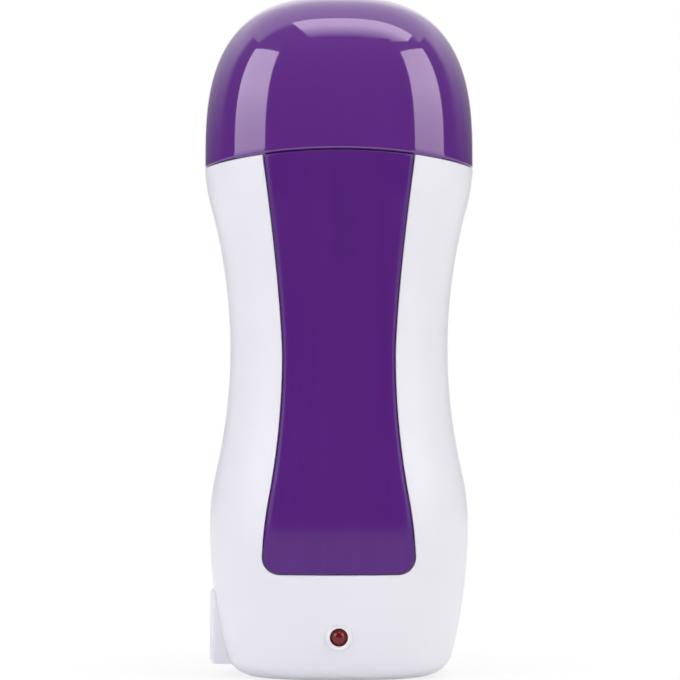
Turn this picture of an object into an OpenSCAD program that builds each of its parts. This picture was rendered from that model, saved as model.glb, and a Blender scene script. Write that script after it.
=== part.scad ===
// Hand-held heater for roll-on wax cartridges: an oval waisted body with a lift-off domed cap.
// Millimetres. Z is up, the front faces -Y, and the origin is the middle of the foot.

/* [Body outline, seen from the front] */
// Height of the heater with its cap on
total_h = 194; // [184:1:206]
// Width at the foot
foot_w = 61.8; // [58:0.2:66]
// Width at the belly, the widest place below the waist
belly_w = 74; // [70:0.5:78]
// Width at the waist
waist_w = 62.4; // [61.6:0.2:68]
// Width at the shoulder, just below the seam
shoulder_w = 77; // [74:0.5:82]
// Height of the belly
belly_z = 43; // [36:1:50]
// Height of the waist
waist_z = 93; // [84:1:100]
// Height of the shoulder
shoulder_z = 147; // [144:1:152]
// Where the side turns from full to hollow, as a share of the way from belly to waist
belly_turn = 0.3; // [0.2:0.05:0.6]
// Where the side turns from hollow to full, as a share of the way from waist to shoulder
shoulder_turn = 0.76; // [0.5:0.02:0.9]
// Radius of the rounded edge round the foot
foot_r = 6; // [4:0.5:8]

/* [Body outline, seen from the side] */
// Depth at the foot
foot_d = 52; // [48:0.5:58]
// Depth at the belly
belly_d = 61; // [58:0.5:66]
// Depth at the waist
waist_d = 54; // [53:0.5:60]
// Depth at the shoulder
shoulder_d = 59; // [56:0.5:64]
// Squareness of the oval cross-section, where 2 is an ellipse
oval_n = 2.5; // [2.3:0.1:3]
// Squareness of the cap's dome in profile, where 2 is an ellipse
dome_n = 2.75; // [2.4:0.05:3.2]

/* [Seam and walls] */
// Height of the seam between body and cap at the middle of the front
seam_z = 149; // [146:0.5:153]
// How much lower the seam runs at the sides
seam_drop = 4.2; // [2:0.2:6]
// Open line between body and cap
seam_gap = 0.4; // [0.3:0.1:0.8]
// Wall of the two body shells
shell_wall = 2.4; // [2:0.1:2.8]
// Wall of the cap's skirt
cap_wall = 2; // [1.6:0.1:2.4]

/* [Front panel] */
// Half-width of the panel at its top end
panel_top_hw = 21.4; // [18:0.1:23]
// Half-width of the panel at its waist
panel_waist_hw = 15.9; // [13:0.1:18]
// Half-width of the panel near its lower edge
panel_foot_hw = 21.6; // [18:0.1:23]
// Height of the panel's lower edge
panel_z = 30.2; // [28:0.2:34]
// Radius of the panel's lower corners
panel_r = 5; // [3:0.5:7]
// Radius of the panel's upper corners
panel_top_r = 1.2; // [0.8:0.1:2]
// Depth of the recess that the panel lies in
panel_recess = 1.2; // [0.9:0.1:1.4]
// Open line round the panel
panel_gap = 0.35; // [0.2:0.05:0.6]
// Bevel all round the panel's front edge
panel_bevel = 0.5; // [0.3:0.1:0.7]
// Radius of the pegs that hold the panel
peg_r = 1.5; // [1:0.1:2]
// How far the pegs stand out behind the recess
peg_l = 2.6; // [2:0.2:3.4]

/* [Wax cartridge well] */
// Width of the cartridge that the well takes
cartridge_w = 52; // [50:0.2:52.6]
// Depth of the cartridge that the well takes
cartridge_d = 33; // [30:0.2:34]
// Room round the cartridge
cartridge_gap = 0.8; // [0.5:0.1:1]
// Wall of the heating chamber
chamber_wall = 1.2; // [0.8:0.1:1.4]
// Height of the underside of the heating chamber
chamber_z = 36; // [34:0.5:42]
// Width of the rim that the chamber hangs by
rim_w = 3; // [2:0.2:3.6]
// Height of the deck's top above the seam
deck_rise = 3; // [2:0.2:5]
// Thickness of the deck
deck_t = 2; // [1.6:0.1:2.6]
// Height of the collar's top above the seam
collar_rise = 9; // [7:0.5:12]
// Wall of the collar
collar_wall = 1.8; // [1.4:0.1:2.2]
// Room between the collar and the pieces round it
collar_gap = 0.3; // [0.25:0.05:0.4]
// Thickness of the pad under the chamber
pad_t = 2.5; // [1.5:0.5:3]
// Distance of the pad's edge from the edge of the chamber's floor
pad_inset = 8; // [5:0.5:9]

/* [Heater] */
// Width and height of one heating tile
tile_s = 17; // [14:0.5:18]
// Thickness of a heating tile
tile_t = 2; // [1.6:0.1:2.4]
// Height of the middle of the heater
heater_z = 62; // [59:0.5:64]
// Thickness of an electrode plate
electrode_t = 0.4; // [0.3:0.1:0.5]
// Thickness of the insulating film
film_t = 0.2; // [0.1:0.05:0.3]
// Thickness of the clamp plate
clamp_t = 0.8; // [0.6:0.1:1]
// Radius of the chamber lugs that the clamp screws go into
lug_r = 3; // [2.6:0.1:3.4]
// Radius of a clamp screw
clamp_screw_r = 1.25; // [1:0.05:1.5]
// Radius of the thermal fuse
fuse_r = 2; // [1.6:0.1:2.4]
// Length of the thermal fuse
fuse_l = 11; // [8:0.5:12]
// Height of the middle of the thermal fuse
fuse_z = 103; // [100:1:108]

/* [Indicator lamp] */
// Radius of the lamp's lens
lamp_r = 2.5; // [2:0.1:3]
// Height of the lamp
lamp_z = 12.8; // [11:0.2:16]
// Room round the lamp
lamp_gap = 0.15; // [0.1:0.05:0.3]
// Outer radius of the raised ring round the lamp
ring_r = 3.75; // [3.4:0.05:4.4]
// How far the ring stands out of the body
ring_rise = 0.6; // [0.4:0.1:1]
// Length of the lamp from its tip to its flange
lamp_l = 7.6; // [7:0.1:9]
// Width of the lamp board
board_w = 16; // [14:0.5:18]
// Height of the lamp board
board_h = 14; // [12:0.5:15]
// Thickness of the lamp board
board_t = 1.6; // [1:0.1:2]

/* [Power inlet] */
// Distance of the inlet's outer face from the middle plane
inlet_x = 36.8; // [36:0.1:38.5]
// Height of the middle of the inlet
inlet_z = 13.6; // [13:0.1:15]
// Length of the long side of the inlet's recess
recess_l = 16.4; // [16:0.1:16.8]
// Width of the inlet's recess
recess_w = 8.4; // [8:0.1:9]
// Depth of the inlet's recess
recess_t = 12.2; // [11:0.1:13]
// Wall of the inlet round its recess
inlet_wall = 0.8; // [0.6:0.1:1]
// Room round the inlet in the shells
inlet_gap = 0.15; // [0.1:0.05:0.3]
// Radius of a contact pin
pin_r = 1.2; // [1:0.05:1.3]
// Radius of a contact pin's root, which is moulded into the inlet
pin_root_r = 1.4; // [1.3:0.05:1.6]
// Distance between the two contact pins
pin_pitch = 8.6; // [8.2:0.1:9]
// Distance of the pin tips below the inlet's face
pin_depth = 2; // [1:0.2:3]
// Height of the boss round the inlet
boss_h = 20.4; // [20:0.1:21]
// Half-width of the boss round the inlet
boss_hw = 8.5; // [7.5:0.1:9.5]
// Radius of the boss's edges
boss_r = 1.6; // [0.8:0.1:2.4]
// Radius of the hollow fillet above the boss
boss_fillet = 4; // [2:0.5:6]

/* [Housing screws] */
// Radius of a screw's shank
screw_r = 1.4; // [1.2:0.05:1.6]
// Radius of a screw's head
screw_head_r = 2.75; // [2.4:0.05:3]
// Height of a screw's head
screw_head_h = 1.8; // [1.4:0.1:2.2]
// Length of a screw's shank
screw_l = 16; // [12:0.5:18]
// Radius of a screw post
post_r = 3; // [2.7:0.1:3.2]
// Distance of the upper posts from the middle
upper_post_x = 31.4; // [31.3:0.1:31.6]
// Height of the upper posts
upper_post_z = 135; // [132:0.5:137]
// Distance of the lower posts from the middle
lower_post_x = 24; // [22:0.5:25]
// Height of the lower posts
lower_post_z = 29; // [28.5:0.5:30]
// Distance behind the middle plane at which the screw heads seat
head_seat_y = 8; // [6:0.5:9]

/* [Leads] */
// Radius of an insulated lead
lead_r = 0.9; // [0.6:0.1:1.1]

/* [Hidden] */

$fn = 48;

// Faces round a screw hole, a post or a small rounded edge in the shells
small_fn = 16;

// Faces across half of the body, up its outside and inside, and round its edges
half_cols = 22;
side_rows = 18;
inner_rows = 12;
edge_steps = 4;
panel_cols = 10;
panel_rows = 16;
panel_top_steps = 3;
dome_rows = 11;
inner_dome_rows = 7;

// A hair by which a cut passes the face that it opens
past = 1;

// ---- Outline of the body ----

// S-shaped rise from 0 to 1, made of two parabolas that meet at the share f
function s_rise(t, f) = t < f ? t * t / f : 1 - (1 - t) * (1 - t) / (1 - f);

// Width or depth of the body at height z, from its sizes at foot, belly, waist and shoulder
function span(z, foot, belly, waist, shoulder) =
    z < belly_z ? belly - (belly - foot) * pow((belly_z - z) / belly_z, 2)
    : z < waist_z ? belly + (waist - belly) * s_rise((z - belly_z) / (waist_z - belly_z), belly_turn)
    : z < shoulder_z ? waist + (shoulder - waist)
        * s_rise((z - waist_z) / (shoulder_z - waist_z), shoulder_turn)
    : shoulder;

function half_w(z) = span(z, foot_w, belly_w, waist_w, shoulder_w) / 2;
function half_d(z) = span(z, foot_d, belly_d, waist_d, shoulder_d) / 2;

// Share of the shoulder's size that a dome ending at height top keeps at height z
function dome(z, top) =
    z <= shoulder_z ? 1 : pow(1 - pow(min(1, (z - shoulder_z) / (top - shoulder_z)), dome_n), 1 / dome_n);

// Point on the oval of half-sizes w and d at angle a
function oval(w, d, a) = [
    w * sign(cos(a)) * pow(abs(cos(a)), 2 / oval_n),
    d * sign(sin(a)) * pow(abs(sin(a)), 2 / oval_n)
];

// How far the surface of the oval of half-sizes w and d lies in front of the middle at width x
function oval_depth(x, w, d) = d * pow(1 - pow(min(1, abs(x) / w), oval_n), 1 / oval_n);

// Depth of the body's surface, inset from the outside, at width x and height z
function surface_y(x, z, inset) = oval_depth(x, half_w(z) - inset, half_d(z) - inset);

// How far the seam has dropped at width x
function seam_fall(x) = seam_drop * pow(x / (shoulder_w / 2), 2);

// Height z bent down towards the sides, fully at the seam and not at all at the waist
function arched(z, x) = z - seam_fall(x) * max(0, (z - waist_z) / (seam_z - waist_z));

// Point of the body at nominal height z and angle a, inset from the outer surface
function body_point(z, a, inset) =
    let (h = arched(z, oval(half_w(z), half_d(z), a)[0]))
    concat(oval(half_w(h) - inset, half_d(h) - inset, a), h);

// ---- Solids from rows of points ----

// Solid wrapped round a stack of closed rows of points, each running clockwise seen from the last.
// A ring joins its last row to its first; any other stack ends in two flat faces.
module wrapped(rows, ring = false) {
    n = len(rows);
    m = len(rows[0]);
    skin = [for (i = [0:n - (ring ? 1 : 2)], j = [0:m - 1])
        let (k = (j + 1) % m, up = ((i + 1) % n) * m)
        each [[i * m + j, i * m + k, up + k], [i * m + j, up + k, up + j]]];
    ends = ring ? [] : [[for (j = [m - 1:-1:0]) j], [for (j = [0:m - 1]) (n - 1) * m + j]];
    polyhedron([for (row = rows) each row], concat(skin, ends), convexity = 10);
}

// Solid between two rows of points per step, such as the back and the front of a curved plate.
// Each row of the stack holds the back from left to right and then the front from right to left.
module plate(rows) {
    n = len(rows);
    m = len(rows[0]);
    skin = [for (i = [0:n - 2], j = [0:m - 1]) let (k = (j + 1) % m)
        each [[i * m + j, i * m + k, (i + 1) * m + k], [i * m + j, (i + 1) * m + k, (i + 1) * m + j]]];
    first = [for (j = [0:m / 2 - 2])
        each [[j + 1, j, m - 1 - j], [j + 1, m - 1 - j, m - 2 - j]]];
    base = (n - 1) * m;
    last = [for (j = [0:m / 2 - 2])
        each [[base + j, base + j + 1, base + m - 1 - j], [base + j + 1, base + m - 2 - j, base + m - 1 - j]]];
    polyhedron([for (row = rows) each row], concat(skin, first, last), convexity = 6);
}

// Round tube of radius r with s sides along the points of a path
module tube(path, r, s = 8) {
    n = len(path);
    side = [1, 1, 0] / sqrt(2);
    wrapped([for (i = [0:n - 1])
        let (run = path[min(n - 1, i + 1)] - path[max(0, i - 1)])
        let (u = cross(run, side) / norm(cross(run, side)), v = cross(u, run) / norm(run))
        [for (j = [0:s - 1]) path[i] + r * (cos(360 * j / s) * u + sin(360 * j / s) * v)]]);
}

// Smooth path through the points p, with k steps from each to the next
function smooth(p, k = 3) = concat(
    [for (i = [0:len(p) - 2], t = [0:1 / k:0.999])
        let (a = p[max(0, i - 1)], b = p[i], c = p[i + 1], d = p[min(len(p) - 1, i + 2)])
        b + t * (c - a) / 2 + t * t * (a - 2.5 * b + 2 * c - d / 2)
            + t * t * t * (-a / 2 + 1.5 * b - 1.5 * c + d / 2)],
    [p[len(p) - 1]]
);

// Flat oval with straight sides and round ends
module stadium(w, d) {
    r = min(w, d) / 2;
    for (s = [-1, 1])
        translate(w > d ? [s * (w / 2 - r), 0] : [0, s * (d / 2 - r)]) circle(r);
    square(w > d ? [w - 2 * r, d] : [w, d - 2 * r], center = true);
}

// ---- Body shells ----

body_top = seam_z - seam_gap / 2;

// Heights and insets of the wall's section, up the outside and then down the inside
function side_heights(count) = [for (i = [1:count]) foot_r + (body_top - foot_r) * i / count];
function edge_section(r) = [for (k = [0:edge_steps]) let (f = 90 * k / edge_steps)
    [foot_r - r * cos(f), foot_r - r * sin(f)]];
outer_section = concat(edge_section(foot_r), [for (z = side_heights(side_rows)) [z, 0]]);
inner_section = concat(edge_section(foot_r - shell_wall), [for (z = side_heights(inner_rows)) [z, shell_wall]]);

function reversed(list) = [for (i = [len(list) - 1:-1:0]) list[i]];

// One half of the body's wall, with its foot
module half_wall() {
    wrapped([for (i = [0:half_cols]) let (a = 180 + 180 * i / half_cols)
        concat(
            [[0, 0, 0]],
            [for (s = outer_section) body_point(s[0], a, s[1])],
            [for (s = reversed(inner_section)) body_point(s[0], a, s[1])],
            [[0, 0, shell_wall]]
        )]);
}

// Solid that reaches to the middle of the wall, to which inner ribs and posts are cut
module wall_core() {
    core_cols = 24;
    core_rows = 12;
    inset = shell_wall / 2;
    wrapped([for (i = [0:core_rows]) let (z = inset + (shoulder_z - inset) * i / core_rows)
        let (draw = inset + max(0, foot_r - z))
        [for (j = [0:core_cols - 1])
            concat(oval(half_w(z) - draw, half_d(z) - draw, -360 * j / core_cols), z)]]);
}

// Post with draft: its mouth at the middle plane, its root a little thicker
module post(mouth_r, length) {
    draft = 0.4;
    hull() {
        cylinder(r = mouth_r, h = 0.1);
        translate([0, 0, length]) cylinder(r = mouth_r + draft, h = 0.1);
    }
}

post_places = [
    [-upper_post_x, upper_post_z], [upper_post_x, upper_post_z],
    [-lower_post_x, lower_post_z], [lower_post_x, lower_post_z]
];

// Children laid with their axis towards the front at each screw, from y behind the middle plane
module at_screws(y = 0) {
    for (p = post_places)
        translate([p[0], y, p[1]]) rotate([90, 0, 0]) children();
}

rib_x = 12;
rib_t = 2;
rib_h = 14;
rib_reach = 4;
pad_z = chamber_z - pad_t;

// Gusset ribs that carry the pad under the heating chamber; the rear half's are mirrored from these
module cradle_ribs() {
    for (s = [-1, 1]) translate([s * rib_x - rib_t / 2, 0, pad_z]) hull() {
        translate([0, -rib_reach - 1, -3]) cube([rib_t, 1, 3]);
        translate([0, -belly_d / 2, -rib_h]) cube([rib_t, 1, rib_h]);
    }
}

// Webs that tie the lower posts to the side walls
module post_webs() {
    for (s = [-1, 1]) hull() {
        translate([s * lower_post_x, -belly_d / 2, lower_post_z - rib_t / 2]) cube([0.1, belly_d / 2 - 1, rib_t]);
        translate([s * belly_w / 2, -belly_d / 2, lower_post_z - rib_t / 2]) cube([0.1, belly_d / 2 - 3, rib_t]);
    }
}

// ---- Boss round the power inlet ----

boss_back_x = 28.5;
boss_z = inlet_z - boss_h / 2;

// Rounded rectangle from one corner to the other
module rounded(low, high, r) {
    for (x = [low[0] + r, high[0] - r], y = [low[1] + r, high[1] - r])
        translate([x, y]) circle(r);
    translate([low[0] + r, low[1]]) square([high[0] - low[0] - 2 * r, high[1] - low[1]]);
    translate([low[0], low[1] + r]) square([high[0] - low[0], high[1] - low[1] - 2 * r]);
}

// Side view of the boss: a block with a hollow fillet where its top runs into the body
module boss_side() {
    top = inlet_z + boss_h / 2;
    difference() {
        union() {
            rounded([-inlet_x, boss_z], [-boss_back_x, top], boss_r);
            translate([-inlet_x + boss_r, boss_z]) square([inlet_x - boss_back_x - boss_r, boss_h + boss_fillet]);
        }
        translate([-inlet_x, top + boss_fillet]) circle(boss_fillet);
    }
}

module inlet_boss() {
    intersection() {
        rotate([90, 0, 0]) linear_extrude(2 * boss_hw, center = true) boss_side();
        linear_extrude(inlet_z + boss_h + boss_fillet)
            rounded([-inlet_x, -boss_hw], [-boss_back_x, boss_hw], boss_r);
    }
}

// Children laid along X with their long side upright, at the distance x from the middle plane
module at_inlet(x) {
    translate([-x, 0, inlet_z]) rotate([90, 0, 90]) children();
}

inlet_w = recess_w + 2 * inlet_wall;
inlet_h = recess_l + 2 * inlet_wall;
inlet_l = recess_t + 2.4;

module inlet_hole() {
    at_inlet(inlet_x + past) linear_extrude(inlet_x - boss_back_x + 2 * past)
        stadium(inlet_w + 2 * inlet_gap, inlet_h + 2 * inlet_gap);
}

// The half-space in front of the middle plane
module front_space() {
    translate([-shoulder_w, -shoulder_d, -past]) cube([2 * shoulder_w, shoulder_d, total_h]);
}

// ---- Front panel ----

panel_waist_z = 91.6;
panel_flare = 1.4;
panel_turn = 0.65;
panel_back_gap = 0.15;
panel_rise = 0.3;

// How far a rounded corner of radius r draws in at the distance over past its start
function drawn_in(r, over) = r - sqrt(max(0, r * r - pow(max(0, over), 2)));

// Half-width at height z of the panel's outline grown by grow, its corners rounded and its top raised by rise
function panel_hw(z, grow, rise) =
    let (up = (z - panel_waist_z) / (seam_z - panel_waist_z))
    let (down = (panel_waist_z - z) / (panel_waist_z - panel_z))
    (up > 0 ? panel_waist_hw + (panel_top_hw - panel_waist_hw) * pow(up, panel_flare)
        : panel_waist_hw + (panel_foot_hw - panel_waist_hw) * s_rise(min(1, down), panel_turn))
    + grow - drawn_in(panel_r + grow, panel_z + panel_r - z)
    - drawn_in(panel_top_r, z - (seam_z + rise - panel_top_r));

// Point of a plate over the panel's place, at width x and nominal height z
function panel_point(x, z, inset) = let (h = arched(z, x)) [x, -surface_y(x, h, inset), h];

// Closed row across the panel at height z: its back, its right edge, its front and its left edge
function panel_row(z, hw, back, edge, front, bevel) =
    let (n = panel_cols)
    concat(
        [for (i = [0:n]) panel_point(hw * (2 * i / n - 1), z, back)],
        [panel_point(hw, z, edge)],
        [for (i = [1:n - 1]) panel_point((hw - bevel) * (1 - 2 * (i - 1) / (n - 2)), z, front)],
        [panel_point(-hw, z, edge)]
    );

// Heights of the rows: close together round the corners, and evenly spread between them
function panel_heights(grow, rise) =
    let (low = panel_z + panel_r, high = seam_z + rise)
    concat(
        [for (k = [0:edge_steps]) low - (panel_r + grow) * cos(90 * k / edge_steps)],
        [for (i = [1:panel_rows]) low + (high - panel_top_r - low) * i / panel_rows],
        [for (k = [1:panel_top_steps]) high - panel_top_r * (1 - sin(90 * k / panel_top_steps))]
    );

// Plate over the panel's place: its outline grown by grow, and its top raised by rise,
// from the inset back to the inset front, with a bevel all round the front
module panel_plate(grow, rise, back, front, bevel) {
    heights = panel_heights(grow, rise);
    high = seam_z + rise;
    plate([for (z = heights)
        let (share = bevel > 0 ? max(0, 1 - min(z - heights[0], high - z) / bevel) : 0)
        panel_row(z, panel_hw(z, grow, rise), back, bevel, front + (bevel - front) * share, bevel)]);
}

peg_x = panel_waist_hw - 6.9;
peg_places = [for (x = [-peg_x, peg_x], z = [belly_z + 9, waist_z + 33]) [x, z]];

// Pegs of radius r from the height back in front of the middle plane to the panel's back
module panel_pegs(r, length) {
    for (p = peg_places)
        translate([p[0], -surface_y(p[0], p[1], panel_recess + length), p[1]])
            rotate([90, 0, 0]) cylinder(r = r, h = length + 0.3);
}

// ---- Indicator lamp ----

ring_face_y = surface_y(0, lamp_z, 0) + ring_rise;
lamp_tip_y = ring_face_y + 0.3;
lamp_flange_t = 1;
lamp_back_y = lamp_tip_y - lamp_l - lamp_flange_t;
board_peg_x = 6;
board_peg_r = 0.9;

// Children laid with their axis pointing out of the front, at the distance y in front of the middle plane
module at_lamp(y) {
    translate([0, -y, lamp_z]) rotate([90, 0, 0]) children();
}

module lamp_ring() {
    edge = 0.4;
    depth = ring_rise + shell_wall / 2;
    at_lamp(ring_face_y - depth) rotate_extrude($fn = 2 * small_fn)
        polygon([[0, 0], [ring_r, 0], [ring_r, depth - edge], [ring_r - edge, depth], [0, depth]]);
}

module lamp_hole() {
    at_lamp(lamp_back_y) cylinder(r = lamp_r + lamp_gap, h = lamp_l + 2 * past, $fn = 2 * small_fn);
}

// Stand-offs behind the lamp, each with a peg through the lamp board
module board_posts() {
    stand_off_r = 1.8;
    peg_end = 0.6;
    for (s = [-1, 1]) translate([s * board_peg_x, 0, 0]) {
        at_lamp(lamp_back_y) post(stand_off_r, foot_d / 4);
        at_lamp(lamp_back_y - board_t - peg_end) cylinder(r = board_peg_r, h = foot_d / 4);
    }
}

// ---- Screw posts ----

pilot_gap = 0.05;
pilot_l = 12;
clear_gap = 0.25;
head_gap = 0.35;
sleeve_wall = 1.2;
head_sleeve_r = screw_head_r + head_gap + sleeve_wall;

module front_shell() {
    $fn = small_fn;
    color("whitesmoke")
    difference() {
        union() {
            half_wall();
            intersection() {
                wall_core();
                union() {
                    at_screws() post(post_r, belly_d / 2);
                    post_webs();
                    cradle_ribs();
                    board_posts();
                }
            }
            intersection() {
                inlet_boss();
                front_space();
            }
            lamp_ring();
        }
        panel_plate(grow = 0, rise = 2 * past, back = panel_recess, front = -2 * past, bevel = 0);
        panel_pegs(peg_r + panel_back_gap, peg_l + past);
        lamp_hole();
        inlet_hole();
        at_screws(past) cylinder(r = screw_r + pilot_gap, h = pilot_l + past);
    }
}

module rear_shell() {
    $fn = small_fn;
    color("whitesmoke")
    difference() {
        union() {
            mirror([0, 1, 0]) half_wall();
            intersection() {
                wall_core();
                mirror([0, 1, 0]) {
                    at_screws() post(post_r, belly_d / 2);
                    at_screws(-head_seat_y + 2) post(head_sleeve_r, belly_d / 2);
                    post_webs();
                    cradle_ribs();
                }
            }
            difference() {
                inlet_boss();
                front_space();
            }
        }
        inlet_hole();
        mirror([0, 1, 0]) {
            at_screws(past) cylinder(r = screw_r + clear_gap, h = belly_d);
            at_screws(-head_seat_y) cylinder(r = screw_head_r + head_gap, h = belly_d);
        }
    }
}

module front_panel() {
    color([0.32, 0.14, 0.46]) {
        panel_plate(
            grow = -panel_gap, rise = -panel_gap, back = panel_recess - panel_back_gap,
            front = -panel_rise, bevel = panel_bevel
        );
        panel_pegs(peg_r, peg_l);
    }
}

// ---- Cap ----

collar_top = seam_z + collar_rise;
cap_seat_gap = 0.3;
cap_seat_z = collar_top + cap_seat_gap;
cap_rim = seam_z + seam_gap / 2;

// Point of the cap at nominal height z, inset from its outside, in a dome that ends at height top.
// The rim follows the seam; the rest rises straight from the seat on.
function cap_point(z, a, inset, top) =
    let (share = max(0, (cap_seat_z - z) / (cap_seat_z - seam_z)))
    let (h = z - seam_fall(oval(shoulder_w / 2, shoulder_d / 2, a)[0]) * share)
    let (g = dome(h, top), low = min(h, shoulder_z))
    concat(oval((half_w(low) - inset) * g, (half_d(low) - inset) * g, a), h);

// Heights of the rows of a dome that ends at height top, crowding towards its top
function dome_heights(count, top) = concat(
    [cap_rim, (cap_rim + cap_seat_z) / 2, cap_seat_z],
    [for (k = [1:count]) let (t = pow((cap_seat_z - shoulder_z) / (top - shoulder_z), dome_n / 2))
        shoulder_z + (top - shoulder_z) * pow(sin(asin(t) + (90 - asin(t)) * k / count), 2 / dome_n)]
);

module cap_wall_solid() {
    cols = 2 * half_cols;
    inner_top = total_h - cap_wall;
    wrapped([for (i = [0:cols - 1]) let (a = 360 * i / cols)
        concat(
            [for (z = dome_heights(dome_rows, total_h)) cap_point(z, a, 0, total_h)],
            [for (z = reversed(dome_heights(inner_dome_rows, inner_top))) cap_point(z, a, cap_wall, inner_top)]
        )], ring = true);
}

// Solid that reaches to the middle of the cap's wall, to which the ribs are cut
module cap_core() {
    core_cols = 24;
    inset = cap_wall / 2;
    top = total_h - inset;
    wrapped([for (t = [0:0.1:0.9]) let (z = cap_seat_z + (top - cap_seat_z) * t)
        [for (j = [0:core_cols - 1]) cap_point(z, -360 * j / core_cols, inset, top)]]);
}

// Ribs inside the cap that stand on the collar and stop the cap
module cap_ribs() {
    count = 8;
    rib_w = 1.2;
    rib_top = cap_seat_z + 20;
    reach = collar_inset + collar_wall / 2;
    for (i = [0:count - 1]) {
        a = 360 * (i + 0.5) / count;
        p = cap_point(cap_seat_z, a, reach, total_h);
        translate([p[0], p[1], 0]) rotate([0, 0, atan2(p[1], p[0])]) hull() {
            translate([0, -rib_w / 2, cap_seat_z]) cube([2 * reach, rib_w, 0.1]);
            translate([reach, -rib_w / 2, rib_top]) cube([reach, rib_w, 0.1]);
        }
    }
}

module cap() {
    color([0.38, 0.19, 0.53]) {
        cap_wall_solid();
        intersection() {
            cap_core();
            cap_ribs();
        }
    }
}

// ---- Collar, chamber and heater ----

well_w = cartridge_w + 2 * cartridge_gap;
well_d = cartridge_d + 2 * cartridge_gap;
chamber_w = well_w + 2 * chamber_wall;
chamber_d = well_d + 2 * chamber_wall;
deck_z = seam_z + deck_rise - deck_t;
chamber_top = deck_z;
collar_inset = max(shell_wall, cap_wall) + collar_gap;
collar_z = upper_post_z + head_sleeve_r + 0.4;

// Point of the mouth at angle a: its straight sides take the share k of the turn, its ends the rest
function mouth_point(a, z) =
    let (r = well_d / 2, flat = (well_w - well_d) / 2, k = 0.3, c = abs(cos(a)))
    let (turn = acos(max(0, c - k) / (1 - k)))
    [sign(cos(a)) * (c < k ? flat * c / k : flat + r * cos(turn)), sign(sin(a)) * r * sin(turn), z];

function collar_point(z, a, inset) =
    let (g = dome(z, total_h), h = min(z, shoulder_z))
    concat(oval(half_w(h) * g - inset, half_d(h) * g - inset, a), z);

module top_collar() {
    cols = 2 * half_cols;
    inner = collar_inset + collar_wall;
    color([0.93, 0.93, 0.95])
    wrapped([for (i = [0:cols - 1]) let (a = 360 * i / cols)
        [
            collar_point(collar_z, a, collar_inset), collar_point(shoulder_z, a, collar_inset),
            collar_point(collar_top, a, collar_inset), collar_point(collar_top, a, inner),
            collar_point(deck_z + deck_t, a, inner), mouth_point(a, deck_z + deck_t),
            mouth_point(a, deck_z), collar_point(deck_z, a, inner), collar_point(collar_z, a, inner)
        ]], ring = true);
}

heater_y = chamber_d / 2;
stack_t = 2 * film_t + 2 * electrode_t + tile_t;
tile_gap = 1;
stack_h = 2 * tile_s + tile_gap;
lug_dz = stack_h / 2 + lug_r + 2;

// Children laid with their axis along Y behind the chamber's flat back, at the height z
module behind_chamber(y, z = heater_z) {
    translate([0, heater_y + y, z]) rotate([-90, 0, 0]) children();
}

module heating_chamber() {
    color("silver")
    difference() {
        union() {
            translate([0, 0, chamber_z]) linear_extrude(chamber_top - chamber_z) stadium(chamber_w, chamber_d);
            translate([0, 0, chamber_top - chamber_wall]) linear_extrude(chamber_wall)
                stadium(chamber_w + 2 * rim_w, chamber_d + 2 * rim_w);
            for (s = [-1, 1]) behind_chamber(-chamber_wall / 2, heater_z + s * lug_dz)
                cylinder(r = lug_r, h = stack_t + chamber_wall / 2);
        }
        translate([0, 0, chamber_z + chamber_wall]) linear_extrude(chamber_top) stadium(well_w, well_d);
        for (s = [-1, 1]) behind_chamber(0.4, heater_z + s * lug_dz)
            cylinder(r = clamp_screw_r + pilot_gap, h = stack_t + past);
    }
}

module chamber_pad() {
    color([0.75, 0.35, 0.2])
    translate([0, 0, pad_z]) linear_extrude(pad_t) stadium(chamber_w - 2 * pad_inset, chamber_d - 2 * pad_inset);
}

module heating_tiles() {
    color("dimgray")
    for (s = [-1, 1])
        behind_chamber(film_t + electrode_t, heater_z + s * (tile_s + tile_gap) / 2)
            linear_extrude(tile_t) square(tile_s, center = true);
}

tab_w = 4;
tab_l = 6.5;
tab_x = 6.5;

// Thin contact plate with a soldering tab at its upper or its lower end
module electrode(y, up) {
    behind_chamber(y) linear_extrude(electrode_t) {
        square([tile_s, stack_h], center = true);
        translate([tab_x - tab_w / 2, up ? -stack_h / 2 - tab_l : stack_h / 2]) square([tab_w, tab_l]);
    }
}

module inner_electrode() {
    color("gold") electrode(film_t, true);
}

module outer_electrode() {
    color("gold") electrode(film_t + electrode_t + tile_t, false);
}

module insulating_sleeve() {
    color("orange")
    translate([0, heater_y, heater_z - stack_h / 2 - 0.5]) linear_extrude(stack_h + 1) difference() {
        translate([-tile_s / 2 - film_t, 0]) square([tile_s + 2 * film_t, stack_t]);
        translate([-tile_s / 2, film_t]) square([tile_s, stack_t - 2 * film_t]);
    }
}

clamp_w = 14;

module heater_clamp() {
    color("lightsteelblue")
    behind_chamber(stack_t) linear_extrude(clamp_t) difference() {
        union() {
            for (s = [-1, 1]) translate([0, s * lug_dz]) circle(lug_r);
            square([2 * lug_r, 2 * lug_dz], center = true);
            square([clamp_w, stack_h], center = true);
        }
        for (s = [-1, 1]) translate([0, s * lug_dz]) circle(clamp_screw_r + clear_gap);
    }
}

module clamp_screws() {
    color("gray")
    for (s = [-1, 1]) behind_chamber(0.8, heater_z + s * lug_dz) {
        cylinder(r = clamp_screw_r, h = stack_t + clamp_t - 0.8);
        translate([0, 0, stack_t + clamp_t - 0.8]) cylinder(r = 2 * clamp_screw_r, h = clamp_screw_r);
    }
}

fuse_y = heater_y + fuse_r + 0.1;
fuse_wire_l = 4;

module thermal_fuse() {
    wire_r = 0.5;
    color("tan")
    translate([0, fuse_y, fuse_z]) {
        cylinder(r = fuse_r, h = fuse_l, center = true);
        cylinder(r = wire_r, h = fuse_l + 2 * fuse_wire_l, center = true);
    }
}

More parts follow.
